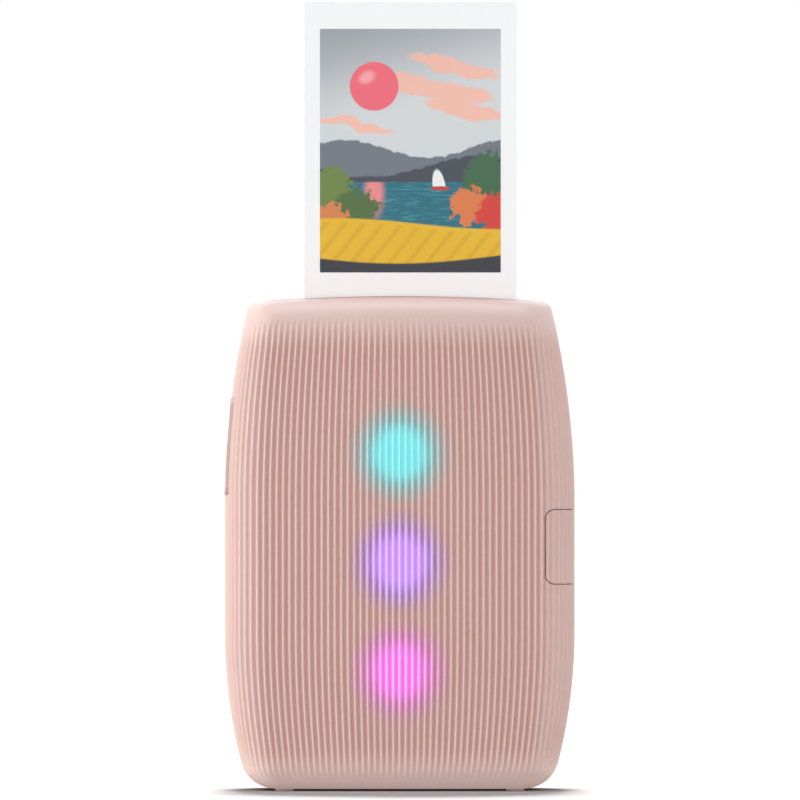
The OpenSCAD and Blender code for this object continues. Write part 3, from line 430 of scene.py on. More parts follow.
def rings(half, samples, depth, levels, over_top):
    """Rings of points from the base to the top edge of a half."""
    out = []
    for z in levels:
        dent = half.base_dent(z)
        inset = depth * fluted(z)
        w = flank_x(z)
        out.append([half.point(p, barrel_x(p[0], w), z, dent, inset) for p in samples])
    for t in over_top:
        a = TOP_START + (TOP_END - TOP_START) * t
        edge_x = TOP_C[0] + TOP_CORNER_R * math.cos(a)
        edge_z = TOP_C[1] + TOP_CORNER_R * math.sin(a)
        rise = math.sin(t * math.pi / 2)
        dent = half.top_r * (1 - math.cos(t * math.pi / 2))
        inset = depth * fluted(edge_z)
        ring = []
        for p in samples:
            x = barrel_x(p[0], edge_x)
            share = (abs(p[2]) / (math.pi / 2 - SIDE_DRAFT)) ** 2
            drop = half.top_r * (1 - rise) * (1 - share) + (arch_z(edge_x) - edge_z) * share
            ring.append(half.point(p, x, arch_z(x) - drop, dent, inset))
        out.append(ring)
    return out


def curve_levels(low, high, count):
    """Evenly spread heights, with both ends."""
    return [low + (high - low) * k / count for k in range(count + 1)]


TOP_MARGIN = 3.2 * MM
BASE_ANGLES = range(0, 72, 8)
BASE_LEVELS = [BASE_Z + BASE_CORNER_R * (1 - math.cos(math.radians(a))) for a in BASE_ANGLES]
FLANK_LEVELS = curve_levels(BASE_JOIN_Z, FLANK_LOW_Z, count=10)
FLANK_LEVELS += curve_levels(FLANK_HIGH_Z, TOP_C[1] - TOP_MARGIN, count=22)
TOP_STEPS = [k / 10 for k in range(11)]
FLUTE_STEPS = 12
FLUTE_SHARE = 0.92


def flute_profile(u):
    """Depth of a flute across one pitch: a narrow rib at 0, a round hollow about 0.5."""
    t = abs(2 * (u % 1.0) - 1) / FLUTE_SHARE
    return 1 - t * t if t < 1 else 0.0


def fluted_samples():
    """Samples across the ribbed front; their marks count the flutes."""
    count = round(FRONT.length / FLUTE_PITCH)
    total = count * FLUTE_STEPS
    out = []
    for k in range(-total, total + 1):
        u = k / FLUTE_STEPS
        out.append(FRONT.sample(u * FRONT.length / count, flute_profile(u), u))
    return out


def plain_samples(half, corner_steps=14, crown_steps=6, hollow=0.0):
    """Samples across a smooth half, with a stop at each end of its round corners."""
    stops = [half.crown_len * k / crown_steps for k in range(crown_steps)]
    stops += [half.crown_len + half.corner_len * k / corner_steps for k in range(corner_steps + 1)]
    stops.append(half.length)
    both = [-s for s in reversed(stops[1:])] + stops
    return [half.sample(s, hollow, s / FLUTE_PITCH) for s in both]


def link(name, mesh):
    """Object with a mesh, in the scene."""
    obj = bpy.data.objects.new(name, mesh)
    bpy.context.scene.collection.objects.link(obj)
    return obj


def lofted(name, samples, loops):
    """Closed solid through the rings, with its flat side on the parting plane."""
    bm = bmesh.new()
    uv = bm.loops.layers.uv.new("marks")
    n = len(samples)
    rows = [[bm.verts.new(p) for p in loop] for loop in loops]
    plane_y = loops[-1][0].y
    line = [rows[-1][0]]
    line += [bm.verts.new((v.co.x, plane_y, v.co.z)) for v in rows[-1][1:-1]]
    line.append(rows[-1][-1])
    marks = {}
    for row in rows + [line]:
        for k, v in enumerate(row):
            marks[v] = samples[k][4]
    skin = [(rows[j], rows[j + 1]) for j in range(len(rows) - 1)] + [(rows[-1], line)]
    for low, high in skin:
        for k in range(n - 1):
            corners = [low[k], high[k], high[k + 1], low[k + 1]]
            corners = [v for i, v in enumerate(corners) if v not in corners[:i]]
            bm.faces.new(corners)
    bm.faces.new(rows[0])
    flat = [row[0] for row in rows] + line[1:-1] + [row[-1] for row in reversed(rows)]
    bm.faces.new(flat)
    for face in bm.faces:
        for loop in face.loops:
            loop[uv].uv = (marks[loop.vert], (loop.vert.co.z - BASE_Z) / (CROWN_Z - BASE_Z))
    bmesh.ops.recalc_face_normals(bm, faces=bm.faces)
    mesh = bpy.data.meshes.new(name)
    bm.to_mesh(mesh)
    bm.free()
    return link(name, mesh)


# Cutters run past what they cut by this much
PAST = 1 * MM

# Rings of the inner form keep this far from its lowest and its upper ones
FLOOR_ROOM = 2 * MM
CEILING_ROOM = 4 * MM
CEILING_Z = CROWN_Z - 3 * MM


def inner_form(name, half, inset):
    """The form moved in by inset and run past the parting plane, to hollow a half."""
    samples = plain_samples(half, corner_steps=8, crown_steps=3, hollow=1.0)
    samples = [samples[0]] + samples + [samples[-1]]
    top = CROWN_Z - half.top_r
    low, high = BASE_Z + inset + FLOOR_ROOM, top - CEILING_ROOM
    levels = [BASE_Z + inset] + [z for z in FLANK_LEVELS if low < z < high]
    loops = []
    for z in levels:
        w = flank_x(z)
        loops.append([half.point(p, barrel_x(p[0], w), z, half.base_dent(z), inset) for p in samples])
    for width_z, drop, dent in ((top, half.top_r, 0.0), (CEILING_Z, inset, inset)):
        loop = []
        for p in samples:
            x = barrel_x(p[0], flank_x(width_z))
            loop.append(half.point(p, x, arch_z(x) - drop, dent, inset))
        loops.append(loop)
    for loop in loops:
        for end in (0, -1):
            loop[end] = loop[end] - Vector((0, half.side * PAST, 0))
    return lofted(name, samples, loops)


# ---------------------------------------------------------------- mesh helpers


def solid(name, build):
    """Mesh object from a function that fills a bmesh."""
    bm = bmesh.new()
    build(bm)
    bmesh.ops.recalc_face_normals(bm, faces=bm.faces)
    mesh = bpy.data.meshes.new(name)
    bm.to_mesh(mesh)
    bm.free()
    return link(name, mesh)


def prism(name, outline, low, high, axis="Y"):
    """Solid between two planes across an axis, over a closed outline in the other two."""

    def place(p, depth):
        if axis == "Y":
            return (p[0], depth, p[1])
        if axis == "X":
            return (depth, p[0], p[1])
        return (p[0], p[1], depth)

    def build(bm):
        ends = [[bm.verts.new(place(p, d)) for p in outline] for d in (low, high)]
        for end in ends:
            bm.faces.new(end)
        n = len(outline)
        for k in range(n):
            bm.faces.new([ends[0][k], ends[0][(k + 1) % n], ends[1][(k + 1) % n], ends[1][k]])

    return solid(name, build)


def rounded(x0, x1, z0, z1, r, steps=8):
    """Rectangle with round corners, anticlockwise."""
    out = []
    corners = ((x1 - r, z1 - r, 0), (x0 + r, z1 - r, 90), (x0 + r, z0 + r, 180), (x1 - r, z0 + r, 270))
    for cx, cz, start in corners:
        for k in range(steps + 1):
            a = math.radians(start + 90 * k / steps)
            out.append((cx + r * math.cos(a), cz + r * math.sin(a)))
    return out


def disc(cx, cz, r, steps=32):
    """Circle, anticlockwise."""
    angles = [2 * math.pi * k / steps for k in range(steps)]
    return [(cx + r * math.cos(a), cz + r * math.sin(a)) for a in angles]


def carve(target, operation, *cutters):
    """Boolean of target with each cutter, applied; the cutters go away."""
    for cutter in cutters:
        modifier = target.modifiers.new("cut", "BOOLEAN")
        modifier.object = cutter
        modifier.operation = operation
        modifier.solver = "EXACT"
        bake(target)
        bpy.data.objects.remove(cutter)
    return target


def bake(obj):
    """Replace an object's mesh by its evaluated one."""
    graph = bpy.context.evaluated_depsgraph_get()
    mesh = bpy.data.meshes.new_from_object(obj.evaluated_get(graph), depsgraph=graph)
    obj.modifiers.clear()
    obj.data = mesh


BEVEL_ANGLE = 50.0
SHARP_ANGLE = 35.0
SHELL_SHARP = 40.0


def finish_piece(obj, body, slot, material, *nodes, sharp=SHARP_ANGLE, bevel=0.0):
    """Smooth shading by angle, an optional bevel, a material, a body and the nodes it stands for."""
    if bevel:
        modifier = obj.modifiers.new("edge", "BEVEL")
        modifier.width = bevel
        modifier.segments = 2
        modifier.limit_method = "ANGLE"
        modifier.angle_limit = math.radians(BEVEL_ANGLE)
        modifier.harden_normals = False
        bake(obj)
    obj.data.materials.clear()
    obj.data.materials.append(material)
    obj.data.shade_smooth()
    obj.data.set_sharp_from_angle(angle=math.radians(sharp))
    if bevel:
        modifier = obj.modifiers.new("flat", "WEIGHTED_NORMAL")
        modifier.keep_sharp = True
        bake(obj)
    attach(obj, body)
    if nodes:
        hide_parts(*nodes)
    return obj


# ---------------------------------------------------------------- ribbed plastic with its lights

# Each light's node, with the colour of its painted light in the hollows at the spot's rim and core, and
# on the ribs
LIGHTS = (("light_teal", srgb(16, 170, 175), srgb(92, 224, 226), srgb(150, 228, 228)),
          ("light_violet", srgb(142, 62, 204), srgb(200, 124, 250), srgb(212, 188, 240)),
          ("light_magenta", srgb(210, 46, 184), srgb(248, 84, 234), srgb(234, 178, 228)))
GLOW_CORE = 4 * MM
GLOW_REACH = 15 * MM

# How much of the plastic's colour the painted light of a spot takes over, and how strongly it glows
GLOW_TINT = 0.92
GLOW_ON_RIBS = 0.08
GLOW_IN_HOLLOWS = 0.3
CORE_FROM, CORE_FULL = 0.55, 1.1

# The hollows' painted shade: full at the floor of a flute, gone at its brim and on the parting face,
# and fainter from the face's last flute round the corner
HOLLOW_FLOOR, HOLLOW_BRIM = 0.15, 0.9
PARTING_FROM, PARTING_TO = PART_Y - 0.3 * MM, PART_Y - 0.05 * MM
LAST_FLUTE = FRONT.crown_len / FLUTE_PITCH
CORNER_FROM, CORNER_TO = LAST_FLUTE - 1, LAST_FLUTE + 3
CORNER_FADE = 0.75

# The thin line of painted shade along the lip, on the front rounding of the top edge
RIM_LINE = 0.4 * MM
RIM_BACK = FACE_FRONT + FRONT.top_r
RIM_FROM, RIM_TO = RIM_BACK - 0.5 * MM, RIM_BACK + 1 * MM
RIB_ROUGHNESS = 0.46


def glow_share(g, x, z, node):
    """Soft round spot of painted light in front of a light: 1 over its core, 0 past its reach."""
    lo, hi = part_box(node)
    dx = g.math("SUBTRACT", x, midpoint(lo.x, hi.x))
    dz = g.math("SUBTRACT", z, midpoint(lo.z, hi.z))
    square = g.math("ADD", g.math("MULTIPLY", dx, dx), g.math("MULTIPLY", dz, dz))
    return g.inverse(g.step(g.math("SQRT", square), GLOW_CORE, GLOW_REACH))


def hollow_shade_share(g, y, z):
    """Share of the painted shade: 1 in the hollows between the ribs and 0 on the ribs, weaker at the
    round corners. It follows the marks, which count the flutes, and runs out with them above, below
    and at the parting."""
    uv = g.node("ShaderNodeUVMap")
    uv.uv_map = "marks"
    mark = g.node("ShaderNodeSeparateXYZ", Vector=uv.outputs[0]).outputs[0]
    wave = g.math("SUBTRACT", g.math("MULTIPLY", g.math("FRACT", mark), 2.0), 1.0)
    hollow = g.inverse(g.step(g.math("ABSOLUTE", wave), HOLLOW_FLOOR, HOLLOW_BRIM))
    low_end = BASE_Z + FLUTE_START
    high_end = CROWN_Z - FLUTE_END
    ribbed = g.math("MULTIPLY", g.step(z, low_end, low_end + FLUTE_FADE),
                    g.inverse(g.step(z, high_end - FLUTE_FADE, high_end)))
    front = g.inverse(g.step(y, PARTING_FROM, PARTING_TO))
    hollow = g.math("MULTIPLY", hollow, g.math("MULTIPLY", ribbed, front))
    corner = g.step(g.math("ABSOLUTE", mark), CORNER_FROM, CORNER_TO)
    return g.math("MULTIPLY", hollow, g.math("MULTIPLY_ADD", corner, -CORNER_FADE, 1.0))


def rim_shade_share(g, x, y, z):
    """1 along the thin line of painted shade at the top of the front lip."""
    over = g.math("SUBTRACT", z, ARCH_C[1])
    square = g.math("ADD", g.math("MULTIPLY", x, x), g.math("MULTIPLY", over, over))
    rim = g.step(g.math("SQRT", square), TOP_ARCH_R - RIM_LINE, TOP_ARCH_R - RIM_LINE / 2)
    return g.math("MULTIPLY", rim, g.inverse(g.step(y, RIM_FROM, RIM_TO)))


def ribbed_plastic():
    """Rose plastic: pale ribs, painted shade in the hollows, and the painted glow of the lights showing
    through the hollows.
    """
    g = Graph("ribbed_rose", srgb(222, 186, 177), RIB_ROUGHNESS)
    x, y, z = g.place()[1:]
    hollow = hollow_shade_share(g, y, z)
    cloud = g.noise(scale=45.0, detail=3.0)
    crest_color = g.mix(cloud, srgb(212, 181, 172), srgb(218, 188, 179))
    hollow_shade_color = g.mix(cloud, srgb(192, 140, 131), srgb(198, 146, 137))
    # Painted shade: the hollows between the ribs get a darker, deeper colour
    base = g.mix(hollow, crest_color, hollow_shade_color)
    # Painted shade: a thin darker line along the top of the front lip
    base = g.mix(rim_shade_share(g, x, y, z), base, srgb(178, 134, 130))
    glow = (0, 0, 0)
    for node, rim_light, core_light, crest_light in LIGHTS:
        share = glow_share(g, x, z, node)
        hollow_light = g.mix(g.step(share, CORE_FROM, CORE_FULL), rim_light, core_light)
        tone = g.mix(hollow, crest_light, hollow_light)
        # Painted light: in each spot the plastic's colour turns to the light's, and the plastic glows
        base = g.mix(g.math("MULTIPLY", share, GLOW_TINT), base, tone)
        level = g.math("MULTIPLY_ADD", hollow, GLOW_IN_HOLLOWS - GLOW_ON_RIBS, GLOW_ON_RIBS)
        lit = g.mix(g.math("MULTIPLY", g.math("POWER", share, 2.0), level), (0, 0, 0, 1), tone)
        add = g.node("ShaderNodeVectorMath")
        add.operation = "ADD"
        g.put(add.inputs[0], glow)
        g.put(add.inputs[1], lit)
        glow = add.outputs[0]
    g.set("Base Color", base)
    g.set("Emission Color", glow)
    g.set("Emission Strength", 1.0)
    g.set("Specular IOR Level", 0.85)
    fine = g.noise(GRAIN_SCALE, detail=2.0)
    g.set("Roughness", g.spread(fine, width=0.1, middle=RIB_ROUGHNESS))
    g.bump(fine, GRAIN, strength=0.4)
    return g.material


RIBBED = ribbed_plastic()
ROSE = moulded("smooth_rose", srgb(214, 186, 177), 0.42)
BLACK = moulded("black_plastic", srgb(38, 38, 40), 0.5)

# ---------------------------------------------------------------- housing

JOINTS = {joint["name"]: joint for joint in frame["joints"]}
SEAM = 0.25 * MM
BEYOND = 2 * MM

# The flap over the port, its pocket and hinge, and the holes behind it
port_lo, port_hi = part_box("port_cover")
port_axis = Vector(JOINTS["port_cover_hinge"]["pos_m"])
PORT_X = 37 * MM
PORT_R = 2.3 * MM
PORT_RUN = 20 * MM
PORT_PIN = 1 * MM
PORT_Z0 = port_lo.z + PORT_PIN
PORT_Z1 = port_hi.z - PORT_PIN
PORT_BLOCK_X = HALF_W - 9 * MM
POCKET = 1.9 * MM
COVER_T = 1.6 * MM
KNUCKLE_R = 1.1 * MM
KNUCKLE_GAP = 0.15 * MM
RESET_HOLE_R = 1.15 * MM
USB_ROUND = 0.99

# The power button's slot
power_lo, power_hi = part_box("power_button")
POWER_FLANGE = 0.9 * MM
POWER_CUT = 9 * MM
POWER_W = power_hi.y - power_lo.y - POWER_FLANGE
POWER_Y = power_lo.y + POWER_W / 2
POWER_Z0 = power_lo.z + POWER_FLANGE
POWER_Z1 = power_hi.z - POWER_FLANGE
PILL_ROUND = 0.999


def outer_half(name, half, samples, depth):
    """Outside form of a half, with flutes of a depth."""
    loops = rings(half, samples, depth, BASE_LEVELS + FLANK_LEVELS, TOP_STEPS)
    return lofted(name, samples, loops)


def port_prism(name, gap):
    """Prism over the flap's outline grown by a gap, whose far corners are outside the body."""
    outline = rounded(PORT_X - gap, HALF_W + PORT_RUN, PORT_Z0 - gap, PORT_Z1 + gap, PORT_R + gap)
    return prism(name, outline, FACE_FRONT - BEYOND, port_axis.y)


def box_piece(name, low, high):
    """Box between two corners."""
    outline = [(low[0], low[2]), (high[0], low[2]), (high[0], high[2]), (low[0], high[2])]
    return prism(name, outline, low[1], high[1])


def pill(name, grow):
    """Prism along X over the power button's outline, grown all round."""
    r = POWER_W / 2 + grow
    outline = rounded(POWER_Y - r, POWER_Y + r, POWER_Z0 - grow, POWER_Z1 + grow, r * PILL_ROUND)
    return prism(name, outline, -HALF_W - BEYOND, -HALF_W + POWER_CUT, "X")


def front_cover():
    """Ribbed front with the flap's pocket and hinge, the power button's slot, and the holes for
    the socket and the reset button."""
    piece = outer_half("front_cover", FRONT, RIB_SAMPLES, FLUTE_DEPTH)
    block = box_piece("block", (PORT_BLOCK_X, FACE_FRONT - BEYOND, PORT_Z0 - BEYOND),
                      (HALF_W + BEYOND, port_axis.y + BEYOND, PORT_Z1 + BEYOND))
    hollow = carve(inner_form("hollow", FRONT, WALL), "DIFFERENCE", block)
    pocket_floor = inner_form("pocket_floor", FRONT, POCKET)
    pocket = carve(port_prism("pocket", SEAM), "DIFFERENCE", pocket_floor)
    knuckle = prism("knuckle", disc(port_axis.x, port_axis.y, KNUCKLE_R + KNUCKLE_GAP),
                    PORT_Z0 - SEAM, PORT_Z1 + SEAM, "Z")
    edge = box_piece("edge", (port_axis.x, port_axis.y - PAST, PORT_Z0 - SEAM),
                     (HALF_W + BEYOND, port_axis.y + KNUCKLE_R + KNUCKLE_GAP, PORT_Z1 + SEAM))
    lo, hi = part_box("usb_socket")
    outline = rounded(lo.y, hi.y, lo.z, hi.z, (hi.y - lo.y) / 2 * USB_ROUND)
    usb = prism("usb", outline, PORT_BLOCK_X - PAST, HALF_W, "X")
    lo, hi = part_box("reset_button")
    outline = disc(midpoint(lo.y, hi.y), midpoint(lo.z, hi.z), RESET_HOLE_R)
    reset = prism("reset", outline, PORT_BLOCK_X - PAST, HALF_W, "X")
    carve(piece, "DIFFERENCE", hollow, pocket, knuckle, edge, pill("slot", SEAM), usb, reset)
    return finish_piece(piece, "housing", "ribbed_shell", RIBBED, "front_case", sharp=SHELL_SHARP)


def port_cover():
    """Ribbed flap over the charging port, cut from the same ribbed form."""
    piece = outer_half("port_flap", FRONT, RIB_SAMPLES, FLUTE_DEPTH)
    carve(piece, "INTERSECT", port_prism("flap", 0.0))
    carve(piece, "DIFFERENCE", inner_form("flap_inside", FRONT, COVER_T))
    knuckle = prism("knuckle", disc(port_axis.x, port_axis.y, KNUCKLE_R), PORT_Z0, PORT_Z1, "Z")
    pin = prism("pin", disc(port_axis.x, port_axis.y, PORT_PIN / 2, steps=16), port_lo.z, port_hi.z, "Z")
    carve(piece, "UNION", knuckle, pin)
    return finish_piece(piece, "port_flap", "ribbed_shell", RIBBED, "port_cover", sharp=SHELL_SHARP)


# The film door's opening with its ledge, recess and hinge, and the print slot
door_lo, door_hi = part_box("film_door")
door_axis = Vector(JOINTS["film_door_hinge"]["pos_m"])
AXIS_TO_DOOR = 1.35 * MM
DOOR_X0 = door_axis.x + AXIS_TO_DOOR
DOOR_X1 = door_hi.x
DOOR_R = 4 * MM
DOOR_Y0 = FACE_REAR - WALL
LEDGE = 1.5 * MM
LEDGE_Y = DOOR_Y0 - LEDGE
HINGE_EDGE = 5 * MM
LATCH_EDGE = 4 * MM
END_EDGE = 3 * MM
RECESS_GAP = 0.04 * MM
KNUCKLE_L = 8 * MM
KNUCKLE_IN = 12 * MM
DOOR_KNUCKLE_R = 1.3 * MM
DOOR_KNUCKLE_GAP = 0.2 * MM
KNUCKLE_LOOSE = 0.3 * MM
SLOT_END = 1 * MM
SLOT_DEEP = 6 * MM
slot_y1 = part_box("slot_seal")[1].y


def door_outline(grow, r):
    """The door's place in the rear face, grown all round."""
    return rounded(DOOR_X0 - grow, DOOR_X1 + grow, door_lo.z - grow, door_hi.z + grow, r)


def hinge_pockets():
    """Cutters for the door's two knuckles: the round hole, its mouth and the web's way in."""
    r = DOOR_KNUCKLE_R + DOOR_KNUCKLE_GAP
    cutters = []
    for z in (door_lo.z + KNUCKLE_IN, door_hi.z - KNUCKLE_IN - KNUCKLE_L):
        low, high = z - KNUCKLE_LOOSE, z + KNUCKLE_L + KNUCKLE_LOOSE
        cutters.append(prism("barrel", disc(door_axis.x, door_axis.y, r), low, high, "Z"))
        cutters.append(box_piece("mouth", (door_axis.x - r, door_axis.y, low),
                                 (DOOR_X0 + LEDGE, FACE_REAR + PAST, high)))
        cutters.append(box_piece("web", (door_axis.x, LEDGE_Y - PAST, low),
                                 (DOOR_X0 + LEDGE + PAST, FACE_REAR, high)))
    return cutters


def rear_case():
    """Smooth rear half with the door's opening, its hinge pockets and the print slot."""
    piece = outer_half("rear_case_shell", REAR, plain_samples(REAR), 0.0)
    frame_block = box_piece("frame_block", (DOOR_X0 - HINGE_EDGE, LEDGE_Y, door_lo.z - END_EDGE),
                            (DOOR_X1 + LATCH_EDGE, FACE_REAR, door_hi.z + END_EDGE))
    hollow = carve(inner_form("hollow", REAR, WALL), "DIFFERENCE", frame_block)
    opening = prism("opening", door_outline(-LEDGE, DOOR_R), LEDGE_Y - PAST, FACE_REAR + PAST)
    recess = prism("recess", door_outline(SEAM, DOOR_R + SEAM), DOOR_Y0 - RECESS_GAP, FACE_REAR + PAST)
    slot = box_piece("slot", (print_lo.x - SLOT_END, PART_Y - PAST, CROWN_Z - SLOT_DEEP),
                     (print_hi.x + SLOT_END, slot_y1, CROWN_Z + PAST))
    carve(piece, "DIFFERENCE", hollow, opening, recess, slot, *hinge_pockets())
    return finish_piece(piece, "housing", "smooth_shell", ROSE, "rear_case", sharp=SHELL_SHARP)


RIB_SAMPLES = fluted_samples()
front_cover()
port_cover()
rear_case()

# ---------------------------------------------------------------- CAD nodes with softened edges

BUTTON_SINK = 0.4 * MM
BUTTON_HEAD = 1.2 * MM
WELD = 0.002 * MM
FLAT_ANGLE = 0.5


def sink_button(bm):
    """Set the power button's head nearly flush with the case."""
    for v in bm.verts:
        if v.co.x < power_lo.x + BUTTON_HEAD:
            v.co.x += BUTTON_SINK


def softened(node, body, slot, material, bevel):
    """Copy of a CAD node with clean faces and bevelled edges, which stands for the node."""
    bm = bmesh.new()
    bm.from_mesh(frame["nodes"][node].data)
    if node == "power_button":
        sink_button(bm)
    bmesh.ops.remove_doubles(bm, verts=bm.verts, dist=WELD)
    flat = math.radians(FLAT_ANGLE)
    bmesh.ops.dissolve_limit(bm, angle_limit=flat, verts=bm.verts, edges=bm.edges)
    mesh = bpy.data.meshes.new(node + "_soft")
    bm.to_mesh(mesh)
    bm.free()
    return finish_piece(link(node + "_soft", mesh), body, slot, material, node, bevel=bevel)


STEEL = brushed("brushed_steel", srgb(190, 192, 196), 0.32)
ROLLER = brushed("roller_steel", srgb(178, 180, 184), 0.25, (60.0, 1.0, 1.0))
FOIL = brushed("battery_foil", srgb(196, 198, 202), 0.45, (10.0, 10.0, 1.0))
NYLON = moulded("gear_nylon", srgb(236, 233, 222), 0.4)
PACK = moulded("pack_plastic", srgb(26, 26, 28), 0.38)
PAPER = paper("film_card", srgb(250, 250, 249))
PCB = painted_board("green_board", srgb(20, 88, 56), srgb(40, 120, 80))
WHITE_PCB = painted_board("white_board", srgb(230, 231, 230), srgb(205, 207, 206))
BRASS = brushed("turned_brass", srgb(205, 168, 96), 0.3)
MILKY = moulded("milky_guide", srgb(236, 232, 238), 0.25)

# Node, body, slot, material and width of the bevels
SOFTENED = (
    ("power_button", "power", "smooth_shell", ROSE, 0.35 * MM),
    ("film_door", "door", "smooth_shell", ROSE, 0.25 * MM),
    ("door_latch", "latch", "smooth_shell", ROSE, 0.2 * MM),
    ("chassis", "housing", "dark_plastic", BLACK, 0.2 * MM),
    ("film_pack", "housing", "pack_plastic", PACK, 0.25 * MM),
    ("exposure_head", "housing", "dark_plastic", BLACK, 0.4 * MM),
    ("battery", "housing", "foil", FOIL, 0.8 * MM),
    ("shield_can", "housing", "steel", STEEL, 0.3 * MM),
    ("motor", "housing", "steel", STEEL, 0.3 * MM),
    ("reset_button", "reset", "dark_plastic", BLACK, 0.15 * MM),
    ("feet", "housing", "rubber", rubber(), 0.15 * MM))
for row in SOFTENED:
    softened(*row)

# The other nodes keep their own meshes
CAD_MATERIALS = {
    "film_stack": PAPER, "head_lens": MILKY, "bracket_left": STEEL, "bracket_right": STEEL,
    "main_board": PCB, "board_chips": BLACK, "light_board": WHITE_PCB,
    "light_teal": lamp_plastic("teal_lens", srgb(40, 225, 228)),
    "light_violet": lamp_plastic("violet_lens", srgb(190, 130, 255)),
    "light_magenta": lamp_plastic("magenta_lens", srgb(255, 90, 240)),
    "light_guide": MILKY, "board_spacers": BRASS, "usb_socket": STEEL, "reset_switch": BLACK,
    "power_switch": BLACK, "slot_seal": felt(), "chassis_screws": STEEL, "hinge_pins": STEEL,
    "idler_stud": STEEL, "door_window": smoked(), "pressure_springs": STEEL, "drive_roller": ROLLER,
    "drive_gear": NYLON, "pinch_roller": ROLLER, "pinch_gear": NYLON, "idler_gear": NYLON,
    "motor_pinion": BRASS, "ejection_claw": STEEL}
for node, material in CAD_MATERIALS.items():
    for slot in frame["nodes"][node].material_slots:
        slot.material = material

# ---------------------------------------------------------------- the print

PICTURE_W = 46 * MM
PICTURE_H = 62 * MM
PICTURE_TOP = 6.9 * MM
PICTURE_RISE = 0.03 * MM
PICTURE_DEEP = 0.05 * MM
PICTURE_R = 0.2 * MM

# The white card and its dark back, which starts behind the middle by a share of half the thickness
CARD_R = 0.4 * MM
BACK_INSET = 0.25 * MM
BACK_FROM = 0.2
picture_x0 = midpoint(print_lo.x, print_hi.x) - PICTURE_W / 2
picture_z1 = print_hi.z - PICTURE_TOP
picture_z0 = picture_z1 - PICTURE_H


class Painter:
    """Flat shapes laid over one another, by place on the picture: u across and v up, in widths."""

    def __init__(self, name, ground):
        self.g = Graph(name, ground, 0.22)
        _, x, _, z = self.g.place()
        self.u = self.g.math("DIVIDE", self.g.math("SUBTRACT", x, picture_x0), PICTURE_W)
        self.v = self.g.math("DIVIDE", self.g.math("SUBTRACT", z, picture_z0), PICTURE_W)
        self.color = ground

    def lay(self, mask, color):
        """Paint a colour where the mask is 1."""
        self.color = self.g.mix(mask, self.color, color)

    def wave(self, height, size, rate, phase):
        """Height of a wavy line across the picture."""
        m = self.g.math
        swing = m("SINE", m("ADD", m("MULTIPLY", self.u, rate), phase))
        return m("ADD", m("MULTIPLY", swing, size), height)

    def below(self, line, soft=0.006):
        """1 under a line."""
        gap = self.g.math("SUBTRACT", line, self.v)
        return self.g.step(gap, -soft, soft)

    def oval(self, u, v, ru, rv, soft=0.04, lean=0.0):
        """1 inside an ellipse."""
        m = self.g.math
        du = m("SUBTRACT", self.u, u)
        dv = m("SUBTRACT", self.v, v)
        ca, sa = math.cos(lean), math.sin(lean)
        a = m("DIVIDE", m("ADD", m("MULTIPLY", du, ca), m("MULTIPLY", dv, sa)), ru)
        b = m("DIVIDE", m("SUBTRACT", m("MULTIPLY", dv, ca), m("MULTIPLY", du, sa)), rv)
        r = m("SQRT", m("ADD", m("MULTIPLY", a, a), m("MULTIPLY", b, b)))
        return self.g.inverse(self.g.step(r, 1 - soft, 1 + soft))

    def both(self, a, b):
        """Product of two masks, or of a mask and its strength."""
        return self.g.math("MULTIPLY", a, b)


# Clouds and bushes by their middles and half sizes, and the bushes' tones
CLOUDS = ((0.74, 1.14, 0.25, 0.045), (0.62, 1.02, 0.33, 0.05),
          (0.8, 0.9, 0.22, 0.04), (0.2, 0.82, 0.2, 0.035))
BUSHES = ((0.06, 0.44, 0.13, 0.14, srgb(104, 128, 58)), (0.2, 0.36, 0.12, 0.1, srgb(74, 104, 52)),
          (0.93, 0.47, 0.14, 0.2, srgb(52, 98, 64)), (0.82, 0.37, 0.1, 0.1, srgb(222, 122, 66)),
          (0.97, 0.33, 0.1, 0.1, srgb(214, 56, 44)), (0.05, 0.31, 0.1, 0.07, srgb(216, 128, 74)))
SUN_U, SUN_V, SUN_R = 0.3, 1.03, 0.135
WATER_V = 0.5


def paint_sky(p):
    """Grey dusk, peach clouds with rough edges, and a coral sun with a glint."""
    g = p.g
    dusk = g.step(g.math("SUBTRACT", p.v, g.math("MULTIPLY", p.u, 0.25)), 0.75, 1.35)
    p.lay(dusk, srgb(158, 163, 168))
    rough = g.spread(g.noise(scale=160.0, detail=5.0), width=0.12)
    for u, v, ru, rv in CLOUDS:
        cloud = p.oval(g.math("ADD", rough, u), g.math("ADD", rough, v), ru, rv, soft=0.16, lean=-0.22)
        p.lay(p.both(cloud, 0.85), srgb(250, 186, 164))
    p.lay(p.oval(SUN_U, SUN_V, SUN_R, SUN_R), srgb(240, 104, 118))
    glint = p.oval(SUN_U - 0.04, SUN_V + 0.05, 0.045, 0.03, soft=0.5, lean=0.5)
    p.lay(p.both(glint, 0.6), srgb(255, 190, 190))


def paint_hills(p):
    """Two rows of slate hills with jagged tops."""
    g = p.g
    jag = g.math("MULTIPLY", g.noise(scale=420.0, detail=4.0), 0.05)
    far = p.wave(height=0.66, size=0.05, rate=7.0, phase=0.6)
    p.lay(p.below(g.math("ADD", far, jag)), srgb(110, 117, 128))
    near = p.wave(height=0.56, size=0.06, rate=5.0, phase=3.4)
    p.lay(p.below(g.math("ADD", near, jag)), srgb(62, 66, 78))


